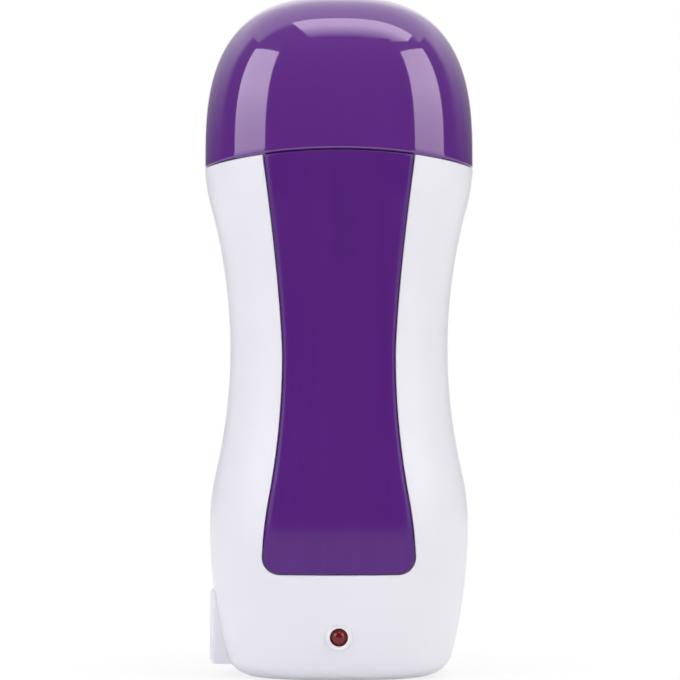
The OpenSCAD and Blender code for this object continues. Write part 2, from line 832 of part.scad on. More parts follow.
// Saddle round the fuse, with its two feet on the chamber's back
module fuse_clip() {
    clip_t = 0.6;
    clip_h = 5;
    clip_gap = 0.1;
    foot_l = 5;
    color("lightsteelblue")
    translate([0, heater_y, fuse_z - clip_h / 2]) linear_extrude(clip_h) difference() {
        union() {
            translate([0, fuse_y - heater_y]) circle(fuse_r + clip_gap + clip_t);
            translate([-fuse_r - clip_gap - clip_t, 0])
                square([2 * (fuse_r + clip_gap + clip_t), fuse_y - heater_y]);
            translate([-foot_l - fuse_r, 0]) square([2 * (foot_l + fuse_r), clip_t]);
        }
        translate([0, fuse_y - heater_y]) circle(fuse_r + clip_gap);
        translate([-fuse_r - clip_gap, -past]) square([2 * (fuse_r + clip_gap), fuse_y - heater_y + past]);
        translate([-foot_l - fuse_r - past, -10]) square([2 * (foot_l + fuse_r + past), 10]);
    }
}

// ---- Lamp and its board ----

module indicator_lamp() {
    lead_wire_r = 0.3;
    lead_wire_x = 1.27;
    color([0.5, 0.07, 0.1])
    at_lamp(lamp_back_y) {
        rotate_extrude() {
            square([lamp_r + 0.4, lamp_flange_t]);
            square([lamp_r, lamp_flange_t + lamp_l - lamp_r]);
            translate([0, lamp_flange_t + lamp_l - lamp_r]) intersection() {
                circle(lamp_r);
                square(lamp_r);
            }
        }
        for (s = [-1, 1]) translate([s * lead_wire_x, 0, -board_t - 1])
            cylinder(r = lead_wire_r, h = board_t + 1.2);
    }
}

module lamp_board() {
    hole_gap = 0.1;
    color("darkgreen")
    at_lamp(lamp_back_y - board_t) linear_extrude(board_t) difference() {
        square([board_w, board_h], center = true);
        for (s = [-1, 1]) {
            translate([s * board_peg_x, 0]) circle(board_peg_r + hole_gap);
            translate([s * 1.27, 0]) circle(0.3 + hole_gap);
        }
    }
}

// Small part lying on the back of the lamp board, with wires bent down into it
module axial_part(z, r, length) {
    wire_r = 0.3;
    y = -(lamp_back_y - board_t) + r + 0.1;
    translate([0, y, lamp_z + z]) rotate([0, 90, 0]) {
        cylinder(r = r, h = length, center = true);
        cylinder(r = wire_r, h = length + 4, center = true);
    }
    for (s = [-1, 1]) translate([s * (length / 2 + 2), y, lamp_z + z]) {
        rotate([90, 0, 0]) cylinder(r = wire_r, h = r + 0.1);
        sphere(wire_r);
    }
}

module dropper_resistor() {
    color("tan") axial_part(4.2, 1.2, 6.5);
}

module rectifier_diode() {
    color("black") axial_part(-4.2, 1.35, 5);
}

// ---- Power inlet ----

flange_t = 1.8;

module power_inlet() {
    flange_h = inlet_h + 2.4;
    flange_w = inlet_w + 4;
    color([0.1, 0.1, 0.11])
    difference() {
        union() {
            at_inlet(inlet_x) linear_extrude(inlet_l) stadium(inlet_w, inlet_h);
            at_inlet(boss_back_x) linear_extrude(flange_t) stadium(flange_w, flange_h);
        }
        at_inlet(inlet_x + past) linear_extrude(recess_t + past) stadium(recess_w, recess_l);
        for (s = [-1, 1]) at_inlet(inlet_x) translate([0, s * pin_pitch / 2, 0])
            cylinder(r = pin_root_r, h = inlet_l + past);
    }
}

pin_back_x = inlet_x - inlet_l - 4;

module inlet_pins() {
    tip_r = 0.7;
    color("gold")
    for (s = [-1, 1]) at_inlet(inlet_x - pin_depth) translate([0, s * pin_pitch / 2, 0]) {
        free_l = recess_t - pin_depth;
        cylinder(r1 = pin_r - tip_r / 2, r2 = pin_r, h = tip_r);
        translate([0, 0, tip_r]) cylinder(r = pin_r, h = free_l - tip_r);
        translate([0, 0, free_l]) cylinder(r = pin_root_r, h = inlet_x - recess_t - pin_back_x);
    }
}

module housing_screws() {
    color("gray")
    at_screws(head_seat_y) {
        cylinder(r = screw_r, h = screw_l);
        translate([0, 0, -screw_head_h]) cylinder(r = screw_head_r, h = screw_head_h);
    }
}

// ---- Leads ----

lead_gap = 0.1;

// How far a lead goes to turn; the bends of the leads are multiples of it
bend = 3;

pin_end = [-pin_back_x + lead_gap, 0, 0];
fuse_foot = [0, fuse_y, fuse_z - fuse_l / 2 - fuse_wire_l - lead_gap];
fuse_head = [0, fuse_y, fuse_z + fuse_l / 2 + fuse_wire_l + lead_gap];

// Place of the live lead beside the heater, and how far behind the middle plane the leads run
lane_x = tile_s / 2 + 1.7 * bend;
lane_y = heater_y + bend;

module live_lead() {
    start = pin_end + [0, 0, inlet_z + pin_pitch / 2];
    color("brown")
    tube(smooth([
        start,
        start + bend * [1, 0.3, 0],
        [-lane_x - 0.5 * bend, lane_y - 3.5 * bend, chamber_z - 4.3 * bend],
        [-lane_x - 0.8 * bend, lane_y - 0.5 * bend, chamber_z],
        [-lane_x, lane_y, heater_z - 0.7 * bend],
        [-lane_x + 0.8 * bend, lane_y, heater_z + stack_h / 2],
        fuse_foot + bend * [-1, 0.2, -1.5],
        fuse_foot
    ]), lead_r);
}

module fuse_lead() {
    end = [tab_x, heater_y + film_t + electrode_t + lead_gap + lead_r, heater_z + stack_h / 2 + 0.4 * tab_l];
    color("brown")
    tube(smooth([
        fuse_head,
        fuse_head + bend * [0, 0, 0.7],
        fuse_head + bend * [1.7, 0.1, 0.5],
        fuse_head + bend * [3, 0, -1.5],
        [3.2 * bend, fuse_y - 0.2 * bend, fuse_z - fuse_l / 2],
        end + bend * [0.2, 0, 2],
        end
    ]), lead_r);
}

module neutral_lead() {
    start = pin_end + [0, 0, inlet_z - pin_pitch / 2];
    end = [tab_x, heater_y + stack_t - film_t + lead_gap + lead_r, heater_z - stack_h / 2 - 0.5 * tab_l];
    color("steelblue")
    tube(smooth([
        start,
        start + bend * [1, 0.2, 0],
        [-2.7 * bend, 2 * bend, inlet_z - 1.9 * bend],
        [0.7 * bend, 5 * bend, inlet_z - 0.5 * bend],
        [tab_x - 0.2 * bend, lane_y - 0.3 * bend, chamber_z - 4.7 * bend],
        end + bend * [0, 0.1, -2],
        end
    ]), lead_r);
}

module lamp_leads() {
    lamp_lead_r = 0.6;
    board_y = -(lamp_back_y - board_t) + lead_gap;
    color("black")
    for (s = [-1, 1]) {
        start = [s * bend, board_y + lamp_lead_r, lamp_z + s * bend / 2];
        tube(smooth([
            start,
            start + [0, bend, 0],
            [(s / 3 - 2) * bend, -2.7 * bend, lamp_z + 1.3 * bend * (s - 1)],
            [(s / 3 - 4) * bend, -1.7 * bend, lamp_z + (1.7 * s - 0.9) * bend],
            [pin_end[0] - bend / 2, -pin_root_r - lead_gap - lamp_lead_r, inlet_z + s * pin_pitch / 2]
        ]), lamp_lead_r);
    }
}

front_shell();
rear_shell();
front_panel();
cap();
top_collar();
heating_chamber();
chamber_pad();
heating_tiles();
inner_electrode();
outer_electrode();
insulating_sleeve();
heater_clamp();
clamp_screws();
thermal_fuse();
fuse_clip();
indicator_lamp();
lamp_board();
dropper_resistor();
rectifier_diode();
power_inlet();
inlet_pins();
housing_screws();
live_lead();
fuse_lead();
neutral_lead();
lamp_leads();
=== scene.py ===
"""Looks of the hand-held heater for roll-on wax cartridges.

The shapes repeat the part's formulas in millimetres on finer meshes. Every piece lies where its solid is.
"""

import math

import bmesh
import bpy
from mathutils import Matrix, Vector


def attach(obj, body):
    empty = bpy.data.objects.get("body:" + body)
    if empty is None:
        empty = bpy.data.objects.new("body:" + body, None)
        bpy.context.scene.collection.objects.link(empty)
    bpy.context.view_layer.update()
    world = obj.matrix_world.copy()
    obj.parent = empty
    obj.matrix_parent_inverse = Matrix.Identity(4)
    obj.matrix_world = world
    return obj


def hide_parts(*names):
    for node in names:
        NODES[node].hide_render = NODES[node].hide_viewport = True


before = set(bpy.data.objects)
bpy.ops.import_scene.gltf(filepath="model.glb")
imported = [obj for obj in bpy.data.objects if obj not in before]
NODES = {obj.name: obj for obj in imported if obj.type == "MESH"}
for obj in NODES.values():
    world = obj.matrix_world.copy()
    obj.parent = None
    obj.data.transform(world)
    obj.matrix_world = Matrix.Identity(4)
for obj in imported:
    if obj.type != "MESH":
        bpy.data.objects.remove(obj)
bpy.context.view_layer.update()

MM = 0.001
WELD = 1e-7  # metres within which points become one
PAST = 1  # how far a cutting shape reaches past what it cuts

# Millimetres. In the names, W, D and H are a width, depth and height, HW is half a width, R a radius,
# L a length and T a thickness.

# Body outline
TOTAL_H = 194
FOOT_W, BELLY_W, WAIST_W, SHOULDER_W = 61.8, 74, 62.4, 77
FOOT_D, BELLY_D, WAIST_D, SHOULDER_D = 52, 61, 54, 59
BELLY_Z, WAIST_Z, SHOULDER_Z = 43, 93, 147
BELLY_TURN, SHOULDER_TURN = 0.3, 0.76
FOOT_R = 6
OVAL_N, DOME_N = 2.5, 2.75

# Seam and walls
SEAM_Z, SEAM_DROP, SEAM_GAP = 149, 4.2, 0.4
BODY_TOP = SEAM_Z - SEAM_GAP / 2
SHELL_WALL, CAP_WALL = 2.4, 2
EDGE = 0.25  # small rounding of a moulded edge

# Front panel
PANEL_TOP_HW, PANEL_WAIST_HW, PANEL_FOOT_HW = 21.4, 15.9, 21.6
PANEL_WAIST_Z, PANEL_FLARE, PANEL_TURN = 91.6, 1.4, 0.65
PANEL_Z, PANEL_R, PANEL_TOP_R = 30.2, 5, 1.2
PANEL_RECESS, PANEL_GAP, PANEL_BACK_GAP = 1.2, 0.35, 0.15
PANEL_RISE, PANEL_BEVEL, PANEL_DROP, PANEL_FOOT_GAP = 0.3, 0.5, 0.2, 0.1
PEG_R, PEG_L = 1.5, 2.6
PEG_PLACES = [(x, z) for x in (-9, 9) for z in (52, 126)]
PEG_ROOT = 0.3  # how far a peg starts inside the panel
LIP = 0.12  # rounding of the recess's edge

# Collar and well
WELL_W, WELL_D = 53.6, 34.6
DECK_TOP, DECK_T = 152, 2
COLLAR_Z, COLLAR_TOP = 139.7, 158
COLLAR_INSET, COLLAR_WALL = 2.7, 1.8
COLLAR_EDGE, MOUTH_EDGE = 0.35, 0.6
MOUTH_FLAT_TURN = 0.3  # share of the turn that the mouth's straight sides take
CAP_SEAT_Z = COLLAR_TOP + 0.3
CHAMBER_Z, PAD_T = 36, 2.5

# Lamp
LAMP_Z, LAMP_R, LAMP_L, LAMP_PROUD = 12.8, 2.5, 7.6, 0.3
FLANGE_R, FLANGE_T = LAMP_R + 0.4, 1
LAMP_WIRE_X, LAMP_WIRE_R, LAMP_WIRE_L = 1.27, 0.3, 2.6
RING_R, RING_RISE, RING_DEPTH, RING_EDGE = 3.75, 0.6, 1.8, 0.5
RING_HOLE_R, RING_CHAMFER, FLANGE_HOLE_R = LAMP_R + 0.045, 0.15, 3.2
FLANGE_HOLE_Y = (10, 40)  # how far forwards the flange's hole starts and its tool ends

# Power inlet and the boss round it
INLET_X, INLET_Z = 36.8, 13.6
HOLE_W, HOLE_H = 10.3, 18.3
BOSS_BACK_X, BOSS_H, BOSS_HW, BOSS_R, BOSS_FILLET = 28.5, 20.4, 8.5, 1.6, 4
BOSS_LINE = 0.04  # how far each half of the boss ends from the middle plane

# Housing screws
SCREWS = [(-31.4, 135), (31.4, 135), (-24, 29), (24, 29)]
SCREW_R, SCREW_L, SCREW_TIP, SCREW_TIP_R = 1.4, 16, 1.5, 1
HEAD_R, HEAD_H, HEAD_DOME, HEAD_SEAT_Y = 2.75, 1.8, 0.5, 8
CROSS_W, CROSS_L, CROSS_DEPTH = 0.75, 3.2, 1.1
POST_R, POST_DRAFT, POST_HOLE_R, POST_HOLE_L = 3, 0.4, 1.45, 12
SLEEVE_R, SLEEVE_FLOOR, HEAD_HOLE_R, SHANK_HOLE_R = 4.3, 2, 3.1, 1.65

# Ribs inside the housing, and the stand-offs of the lamp board
RIB_X, RIB_T, RIB_H, RIB_REACH, RIB_TIP = 12, 2, 14, 4, 3
WEB_INNER_Y, WEB_OUTER_Y = 1, 3
BOARD_PEG_X, BOARD_PEG_R, STAND_OFF_R, BOARD_T, PEG_END = 6, 0.9, 1.8, 1.6, 0.6

# Leads, and what they run to: contact pins, heater and fuse
LEAD_R, LAMP_LEAD_R, LEAD_GAP, BEND = 0.9, 0.6, 0.1, 3
PIN_END_X, PIN_ROOT_R, PIN_HALF_PITCH = -18.1, 1.4, 4.3
TILE_HW, HEATER_Y, HEATER_Z, STACK_H = 8.5, 18.5, 62, 35
TAB_X, TAB_L, INNER_TAB_Y, OUTER_TAB_Y = 6.5, 6.5, 1.6, 4
FUSE_Y, FUSE_Z, FUSE_HALF, FUSE_WIRE = 20.6, 103, 5.5, 4.1
LANE_X, LANE_Y = TILE_HW + 1.7 * BEND, HEATER_Y + BEND

# ---- Outline of the body ----


def s_rise(t, f):
    """S-shaped rise from 0 to 1, made of two parabolas that meet at the share f."""
    return t * t / f if t < f else 1 - (1 - t) ** 2 / (1 - f)


def span(z, foot, belly, waist, shoulder):
    """Width or depth of the body at height z."""
    if z < BELLY_Z:
        return belly - (belly - foot) * ((BELLY_Z - z) / BELLY_Z) ** 2
    if z < WAIST_Z:
        return belly + (waist - belly) * s_rise((z - BELLY_Z) / (WAIST_Z - BELLY_Z), BELLY_TURN)
    share = min(1, (z - WAIST_Z) / (SHOULDER_Z - WAIST_Z))
    return waist + (shoulder - waist) * s_rise(share, SHOULDER_TURN)


def half_w(z):
    return span(z, FOOT_W, BELLY_W, WAIST_W, SHOULDER_W) / 2


def half_d(z):
    return span(z, FOOT_D, BELLY_D, WAIST_D, SHOULDER_D) / 2


def dome(z, top):
    """Share of the shoulder's size that a dome ending at height top keeps at height z."""
    if z <= SHOULDER_Z:
        return 1
    return (1 - min(1, (z - SHOULDER_Z) / (top - SHOULDER_Z)) ** DOME_N) ** (1 / DOME_N)


def oval(w, d, a):
    """Point on the oval of half-sizes w and d at angle a, in radians."""
    x, y = math.cos(a), math.sin(a)
    return (
        w * math.copysign(abs(x) ** (2 / OVAL_N), x),
        d * math.copysign(abs(y) ** (2 / OVAL_N), y),
    )


def oval_depth(x, w, d):
    return d * (1 - min(1, abs(x) / w) ** OVAL_N) ** (1 / OVAL_N)


def surface_y(x, z, inset=0):
    """How far the body's surface, inset from the outside, lies in front of the middle plane."""
    return oval_depth(x, half_w(z) - inset, half_d(z) - inset)


def seam_fall(x):
    return SEAM_DROP * (x / (SHOULDER_W / 2)) ** 2


def arched(z, x):
    """Height z bent down towards the sides, fully at the seam and not at all at the waist."""
    return z - seam_fall(x) * max(0, (z - WAIST_Z) / (SEAM_Z - WAIST_Z))


def body_point(z, a, inset):
    """Point of the body at nominal height z and angle a, inset from the outer surface."""
    h = z
    for _ in range(3):
        h = arched(z, oval(half_w(h), 1, a)[0])
    return (*oval(half_w(h) - inset, half_d(h) - inset, a), h)


def drawn_in(r, over):
    """How far a rounded corner of radius r draws in at the distance over past its start."""
    return r - math.sqrt(max(0, r * r - max(0, over) ** 2))


def panel_hw(z, grow):
    """Half-width of the recess's outline grown by grow, with its lower corners rounded."""
    up = (z - PANEL_WAIST_Z) / (SEAM_Z - PANEL_WAIST_Z)
    down = min(1, (PANEL_WAIST_Z - z) / (PANEL_WAIST_Z - PANEL_Z))
    if up > 0:
        hw = PANEL_WAIST_HW + (PANEL_TOP_HW - PANEL_WAIST_HW) * up**PANEL_FLARE
    else:
        hw = PANEL_WAIST_HW + (PANEL_FOOT_HW - PANEL_WAIST_HW) * s_rise(down, PANEL_TURN)
    return hw + grow - drawn_in(PANEL_R + grow, PANEL_Z + PANEL_R - z)


def panel_point(x, z, inset):
    h = arched(z, x)
    return (x, -surface_y(x, h, inset), h)


def spread(a, b, count):
    """count numbers evenly spread from just after a up to b."""
    return [a + (b - a) * (i + 1) / count for i in range(count)]


def quarter(steps):
    """Angles of a quarter turn, from 0 on."""
    return [math.pi / 2 * k / steps for k in range(steps + 1)]


# ---- Meshes ----


def mesh_of(points, faces):
    """Mesh in metres of points in millimetres, welded and facing outwards."""
    mesh = bpy.data.meshes.new("piece")
    mesh.from_pydata([Vector(p) * MM for p in points], [], faces)
    bm = bmesh.new()
    bm.from_mesh(mesh)
    bmesh.ops.remove_doubles(bm, verts=bm.verts, dist=WELD)
    bmesh.ops.dissolve_degenerate(bm, edges=bm.edges, dist=WELD)
    bare = [edge for edge in bm.edges if not edge.link_faces]
    bmesh.ops.delete(bm, geom=bare, context="EDGES")
    bmesh.ops.recalc_face_normals(bm, faces=bm.faces)
    bm.to_mesh(mesh)
    bm.free()
    return mesh


def wrapped(rows, ring=False):
    """Mesh wrapped round a stack of closed rows of points; a ring joins its last row to its first."""
    n, m = len(rows), len(rows[0])
    faces = [
        (i * m + j, i * m + (j + 1) % m, (i + 1) % n * m + (j + 1) % m, (i + 1) % n * m + j)
        for i in range(n if ring else n - 1)
        for j in range(m)
    ]
    if not ring:
        faces += [tuple(range(m))[::-1], tuple(range((n - 1) * m, n * m))]
    return mesh_of([p for row in rows for p in row], faces)


def lathe(profile, place, steps=64):
    """Mesh turned from (radius, height) points, each put in its place by place(x, y, height)."""
    rows = [
        [place(r * math.cos(a), r * math.sin(a), h) for r, h in profile]
        for a in (math.tau * i / steps for i in range(steps))
    ]
    return wrapped(rows, ring=True)


def forwards(x, y, z):
    """Puts a turned shape on an axis that points out of the front from (x, y, z)."""
    return lambda u, v, h: (x + u, y - h, z + v)


def backwards(x, y, z):
    """Puts a turned shape on an axis that points out of the back from (x, y, z)."""
    return lambda u, v, h: (x + u, y + h, z + v)


def upright(u, v, h):
    return (u, v, h)


def prism(outline, low, high, place):
    """Mesh of a closed outline pushed from low to high, each point put in its place."""
    return wrapped([[place(u, v, h) for u, v in outline] for h in (low, high)])


def joined(meshes):
    """One mesh holding all the meshes."""
    bm = bmesh.new()
    for mesh in meshes:
        bm.from_mesh(mesh)
    out = bpy.data.meshes.new("piece")
    bm.to_mesh(out)
    bm.free()
    return out


def cut(mesh, tools, operation="DIFFERENCE", overlap=False):
    """Mesh after a boolean operation with each tool in turn; overlap says that a tool crosses itself."""
    scene = bpy.context.scene.collection
    base = bpy.data.objects.new("base", mesh)
    scene.objects.link(base)
    for tool in tools:
        other = bpy.data.objects.new("tool", tool)
        scene.objects.link(other)
        step = base.modifiers.new("step", "BOOLEAN")
        step.operation = operation
        step.solver = "EXACT"
        step.use_self = overlap
        step.object = other
        shaped = base.evaluated_get(bpy.context.evaluated_depsgraph_get())
        base.data = bpy.data.meshes.new_from_object(shaped)
        base.modifiers.clear()
        bpy.data.objects.remove(other)
    out = base.data
    bpy.data.objects.remove(base)
    return out


def piece(name, mesh, body, slot, node, sharp=35):
    """Object that rides on the body in the node's place, smooth but at edges past sharp degrees."""
    mesh.shade_smooth()
    mesh.set_sharp_from_angle(angle=math.radians(sharp))
    mesh.materials.clear()
    mesh.materials.append(MATERIALS[slot])
    obj = bpy.data.objects.new(name, mesh)
    bpy.context.scene.collection.objects.link(obj)
    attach(obj, body)
    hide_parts(node)


# ---- Materials ----


def map_range(tree, value, low, high, dark, light):
    """Value carried from the range low to high over to the range dark to light."""
    node = tree.nodes.new("ShaderNodeMapRange")
    node.inputs["From Min"].default_value = low
    node.inputs["From Max"].default_value = high
    node.inputs["To Min"].default_value = dark
    node.inputs["To Max"].default_value = light
    tree.links.new(value, node.inputs["Value"])
    return node.outputs[0]


def length_of(tree, vector):
    node = tree.nodes.new("ShaderNodeVectorMath")
    node.operation = "LENGTH"
    tree.links.new(vector, node.inputs[0])
    return node.outputs["Value"]


class Nodes:
    """Short calls for building one material's node tree."""

    def __init__(self, name):
        self.material = bpy.data.materials.new(name)
        self.material.use_nodes = True
        self.tree = self.material.node_tree
        self.shader = self.tree.nodes["Principled BSDF"]
        self.coords = self.tree.nodes.new("ShaderNodeTexCoord").outputs["Object"]

    def add(self, kind, **inputs):
        node = self.tree.nodes.new(kind)
        for key, value in inputs.items():
            socket = node.inputs[key.replace("_", " ")]
            if isinstance(value, bpy.types.NodeSocket):
                self.tree.links.new(value, socket)
            else:
                socket.default_value = value
        return node

    def link(self, output, name):
        self.tree.links.new(output, self.shader.inputs[name])

    def set(self, **sockets):
        """Sets numbers and colours on the shader's sockets, named with underscores for spaces."""
        for key, value in sockets.items():
            self.shader.inputs[key.replace("_", " ")].default_value = value

    def noise(self, scale, detail=3, stretch=(1, 1, 1)):
        """Noise over the object, per metre, drawn out along an axis by a small stretch."""
        place = self.add("ShaderNodeMapping", Vector=self.coords, Scale=stretch)
        out = self.add("ShaderNodeTexNoise", Vector=place.outputs[0], Scale=scale, Detail=detail)
        return out.outputs["Fac"]

    def ramp(self, fac, stops):
        node = self.add("ShaderNodeValToRGB", Fac=fac)
        for element, (at, color) in zip(node.color_ramp.elements, stops):
            element.position = at
            element.color = (*color, 1)
        return node.outputs["Color"]

    def between(self, fac, low, high):
        return map_range(self.tree, fac, 0, 1, low, high)

    def bump(self, height, depth):
        """Relief of the given depth in metres."""
        node = self.add("ShaderNodeBump", Height=height, Strength=1.0, Distance=depth)
        self.link(node.outputs["Normal"], "Normal")


def linear(rgb):
    """Linear colour of an 8-bit screen colour."""
    shares = (c / 255 for c in rgb)
    return tuple(c / 12.92 if c <= 0.04045 else ((c + 0.055) / 1.055) ** 2.4 for c in shares)


def shade(color, factor):
    return tuple(min(1, c * factor) for c in color)


def plastic(name, rgb, rough, vary, mottle, grain=0.0, grain_scale=9000, stretch=(1, 1, 1), **sockets):
    """Moulded plastic with a slight mottling, uneven gloss and a fine grain; sockets are set by name."""
    n = Nodes(name)
    color = linear(rgb)
    clouds = n.noise(mottle, 4, stretch)
    stops = [(0.3, shade(color, 1 - vary)), (0.7, shade(color, 1 + vary))]
    n.link(n.ramp(clouds, stops), "Base Color")
    n.link(n.between(n.noise(mottle * 4, 3, stretch), rough * 0.85, rough * 1.15), "Roughness")
    if grain:
        n.bump(n.noise(grain_scale, 2), grain)
    n.set(**sockets)
    return n.material


def metal(name, rgb, rough, stretch, scale=2500, relief=4e-6):
    """Metal with fine marks drawn out along one direction."""
    n = Nodes(name)
    color = linear(rgb)
    marks = n.noise(scale, 4, stretch)
    n.link(n.ramp(marks, [(0.3, shade(color, 0.86)), (0.7, shade(color, 1.08))]), "Base Color")
    n.link(n.between(marks, rough * 0.75, rough * 1.25), "Roughness")
    n.bump(marks, relief)
    n.set(Metallic=1.0)
    return n.material


PLASTICS = {
    "white_shell": dict(
        rgb=(236, 235, 243), rough=0.36, vary=0.012, mottle=40, grain=1.5e-6,
        Subsurface_Weight=0.3, Subsurface_Radius=(1, 1, 1), Subsurface_Scale=0.8 * MM,
    ),
    "panel": dict(
        rgb=(84, 33, 122), rough=0.13, vary=0.05, mottle=300, grain=6e-7, stretch=(1, 1, 0.03),
        Specular_IOR_Level=0.3,
    ),
    "cap_plastic": dict(
        rgb=(92, 36, 131), rough=0.06, vary=0.04, mottle=50, Coat_Weight=1.0, Coat_Roughness=0.04,
        Specular_IOR_Level=0.8, Specular_Tint=(0.93, 0.7, 0.9, 1),
        Sheen_Weight=0.15, Sheen_Roughness=0.3, Sheen_Tint=(0.8, 0.25, 1.0, 1),
    ),
    "collar_plastic": dict(rgb=(234, 234, 238), rough=0.5, vary=0.015, mottle=60, grain=4e-6),
    "silicone": dict(rgb=(176, 92, 66), rough=0.6, vary=0.06, mottle=200, grain=5e-6),
    "ceramic": dict(rgb=(60, 60, 62), rough=0.8, vary=0.25, mottle=2500, grain=1e-5, grain_scale=5000),
    "film": dict(rgb=(196, 122, 32), rough=0.25, vary=0.08, mottle=150, Coat_Weight=0.3),
    "board": dict(
        rgb=(24, 84, 46), rough=0.35, vary=0.12, mottle=700, grain=4e-6, grain_scale=2500,
        Coat_Weight=0.4,
    ),
    "resistor_case": dict(
        rgb=(204, 176, 122), rough=0.4, vary=0.06, mottle=900, grain=5e-6, grain_scale=4000,
        Coat_Weight=0.3,
    ),
    "diode_case": dict(rgb=(22, 22, 23), rough=0.5, vary=0.1, mottle=900, grain=6e-6, grain_scale=6000),
    "black_plastic": dict(rgb=(20, 20, 22), rough=0.45, vary=0.1, mottle=200, grain=4e-6),
    "brown_lead": dict(rgb=(96, 52, 28), rough=0.5, vary=0.05, mottle=400, grain=4e-6),
    "blue_lead": dict(rgb=(40, 84, 158), rough=0.5, vary=0.05, mottle=400, grain=4e-6),
    "black_lead": dict(rgb=(20, 20, 20), rough=0.5, vary=0.08, mottle=400, grain=4e-6),
}
METALS = {
    "aluminium": dict(rgb=(205, 207, 210), rough=0.36, stretch=(1, 1, 0.02)),
    "brass": dict(rgb=(214, 178, 98), rough=0.3, stretch=(0.03, 1, 1)),
    "steel": dict(rgb=(186, 188, 190), rough=0.32, stretch=(0.05, 1, 1)),
    "fuse_case": dict(rgb=(204, 186, 142), rough=0.4, stretch=(1, 1, 0.1)),
    "pin_metal": dict(rgb=(208, 208, 206), rough=0.18, stretch=(0.05, 1, 1)),
}
MATERIALS = {name: plastic(name, **looks) for name, looks in PLASTICS.items()}
MATERIALS |= {name: metal(name, **looks) for name, looks in METALS.items()}


def lamp_lens():
    """Deep red tinted lens, a little lighter towards its rim, where it is thin."""
    n = Nodes("lamp_lens")
    axis = (0, 0, -LAMP_Z * MM)
    across = n.add("ShaderNodeMapping", Vector=n.coords, Location=axis, Scale=(1, 0, 1))
    share = map_range(n.tree, length_of(n.tree, across.outputs[0]), 0, LAMP_R * MM, 0, 1)
    n.link(n.ramp(share, [(0.3, linear((108, 6, 14))), (1.0, linear((128, 22, 28)))]), "Base Color")
    n.link(n.between(n.noise(900), 0.03, 0.05), "Roughness")
    n.set(Specular_IOR_Level=0.5, Subsurface_Weight=0.15)
    n.set(Subsurface_Radius=(1, 0.2, 0.2), Subsurface_Scale=0.5 * MM)
    return n.material


MATERIALS["lamp_lens"] = lamp_lens()

# ---- Housing ----

SIDE_COLS = 32  # columns from the parting line to the recess's edge
RECESS_COLS = 18  # columns from the recess's edge to the middle
REAR_COLS = 50
EDGE_COL = 0.01  # share at which the column beside the parting line's edge runs
PART_EDGE = 0.2  # small edge along the parting line


def foot_edge(r, steps=6):
    """Heights and insets round the foot's edge, for a rounding of radius r."""
    return [(FOOT_R - r * math.cos(t), FOOT_R - r * math.sin(t)) for t in quarter(steps)]


def inner_rows():
    rows = foot_edge(FOOT_R - SHELL_WALL, 4)
    return rows[::-1], [(z, SHELL_WALL) for z in spread(FOOT_R, BODY_TOP, 40)][::-1]


def edge_hw(z, grow):
    """Half-width at which a column beside or in the recess runs, also below the recess."""
    return panel_hw(z, grow) if z > PANEL_Z - grow else PANEL_FOOT_HW - PANEL_R


def angle_at(x, z):
    """Angle from the parting plane to the surface point at width x."""
    return math.acos(min(1, (x / half_w(arched(z, x))) ** (OVAL_N / 2)))


def left(z, turn, inset):
    """Point of the body's left front, turned from the parting plane."""
    return body_point(z, math.pi + turn, inset)


def front_rows():
    """Heights, insets and zones of the outer rows: 0 below the recess, 1 at its lip, 2 in it."""
    low = PANEL_Z + PANEL_R
    rows = [(z, inset, 0) for z, inset in foot_edge(FOOT_R)]
    rows += [(z, 0, 0) for z in spread(FOOT_R, PANEL_Z - LIP, 18)]
    rows += [(PANEL_Z, 0, 1), (PANEL_Z, 0, 2)]
    rows += [(low - PANEL_R * math.cos(t), 0, 2) for t in quarter(8)[1:]]
    rows += [(z, 0, 2) for z in spread(low, BODY_TOP - EDGE, 88)]
    return rows + [(BODY_TOP, EDGE, 2)]


def closed(outer, column_turn):
    """Section of the wall: its outer points, then down the inside, turned as the column is."""
    turned_edge, side = inner_rows()
    inner = [left(z, column_turn(z), inset) for z, inset in side + turned_edge]
    return [(0, 0, 0), *outer, *inner, (0, 0, SHELL_WALL)]


def parting_turn(z):
    """Turn at which the surface lies a small edge in front of the parting plane."""
    return math.asin((PART_EDGE / half_d(z)) ** (OVAL_N / 2))


def side_section(share):
    """Section of the front wall between the parting plane and the recess."""

    def turn(z):
        return max(share * angle_at(edge_hw(z, LIP), z), parting_turn(z) if share > 0 else 0)

    edge = PART_EDGE if share == 0 else 0
    outer = [left(z, turn(z), max(inset, 0) + edge) for z, inset, _ in front_rows()]
    return closed(outer, turn)


def recess_section(share, lip):
    """Section of the front wall at that share of the recess's half-width, at its lip or in it."""

    def turn(z):
        return angle_at(share * edge_hw(z, 0), z)

    def point(z, inset, zone):
        if zone == 0:
            return left(z, turn(z), inset)
        depth = LIP if lip or zone == 1 else PANEL_RECESS
        return panel_point(-share * edge_hw(z, 0), z, depth)

    return closed([point(*row) for row in front_rows()], turn)


def columns(count):
    """Shares at which the sections run from the parting line on, but not the last one."""
    return [i / count for i in (0, EDGE_COL, *range(1, count))]


def both_sides(half, middle):
    """Mesh of a half's sections, the middle one and the half mirrored."""
    other = [[(-x, y, z) for x, y, z in section] for section in reversed(half)]
    return wrapped([*half, middle, *other])


def front_wall():
    half = [side_section(share) for share in columns(SIDE_COLS)]
    half += [side_section(1), recess_section(1, True)]
    half += [recess_section(1 - i / RECESS_COLS, False) for i in range(RECESS_COLS)]
    return both_sides(half, recess_section(0, False))


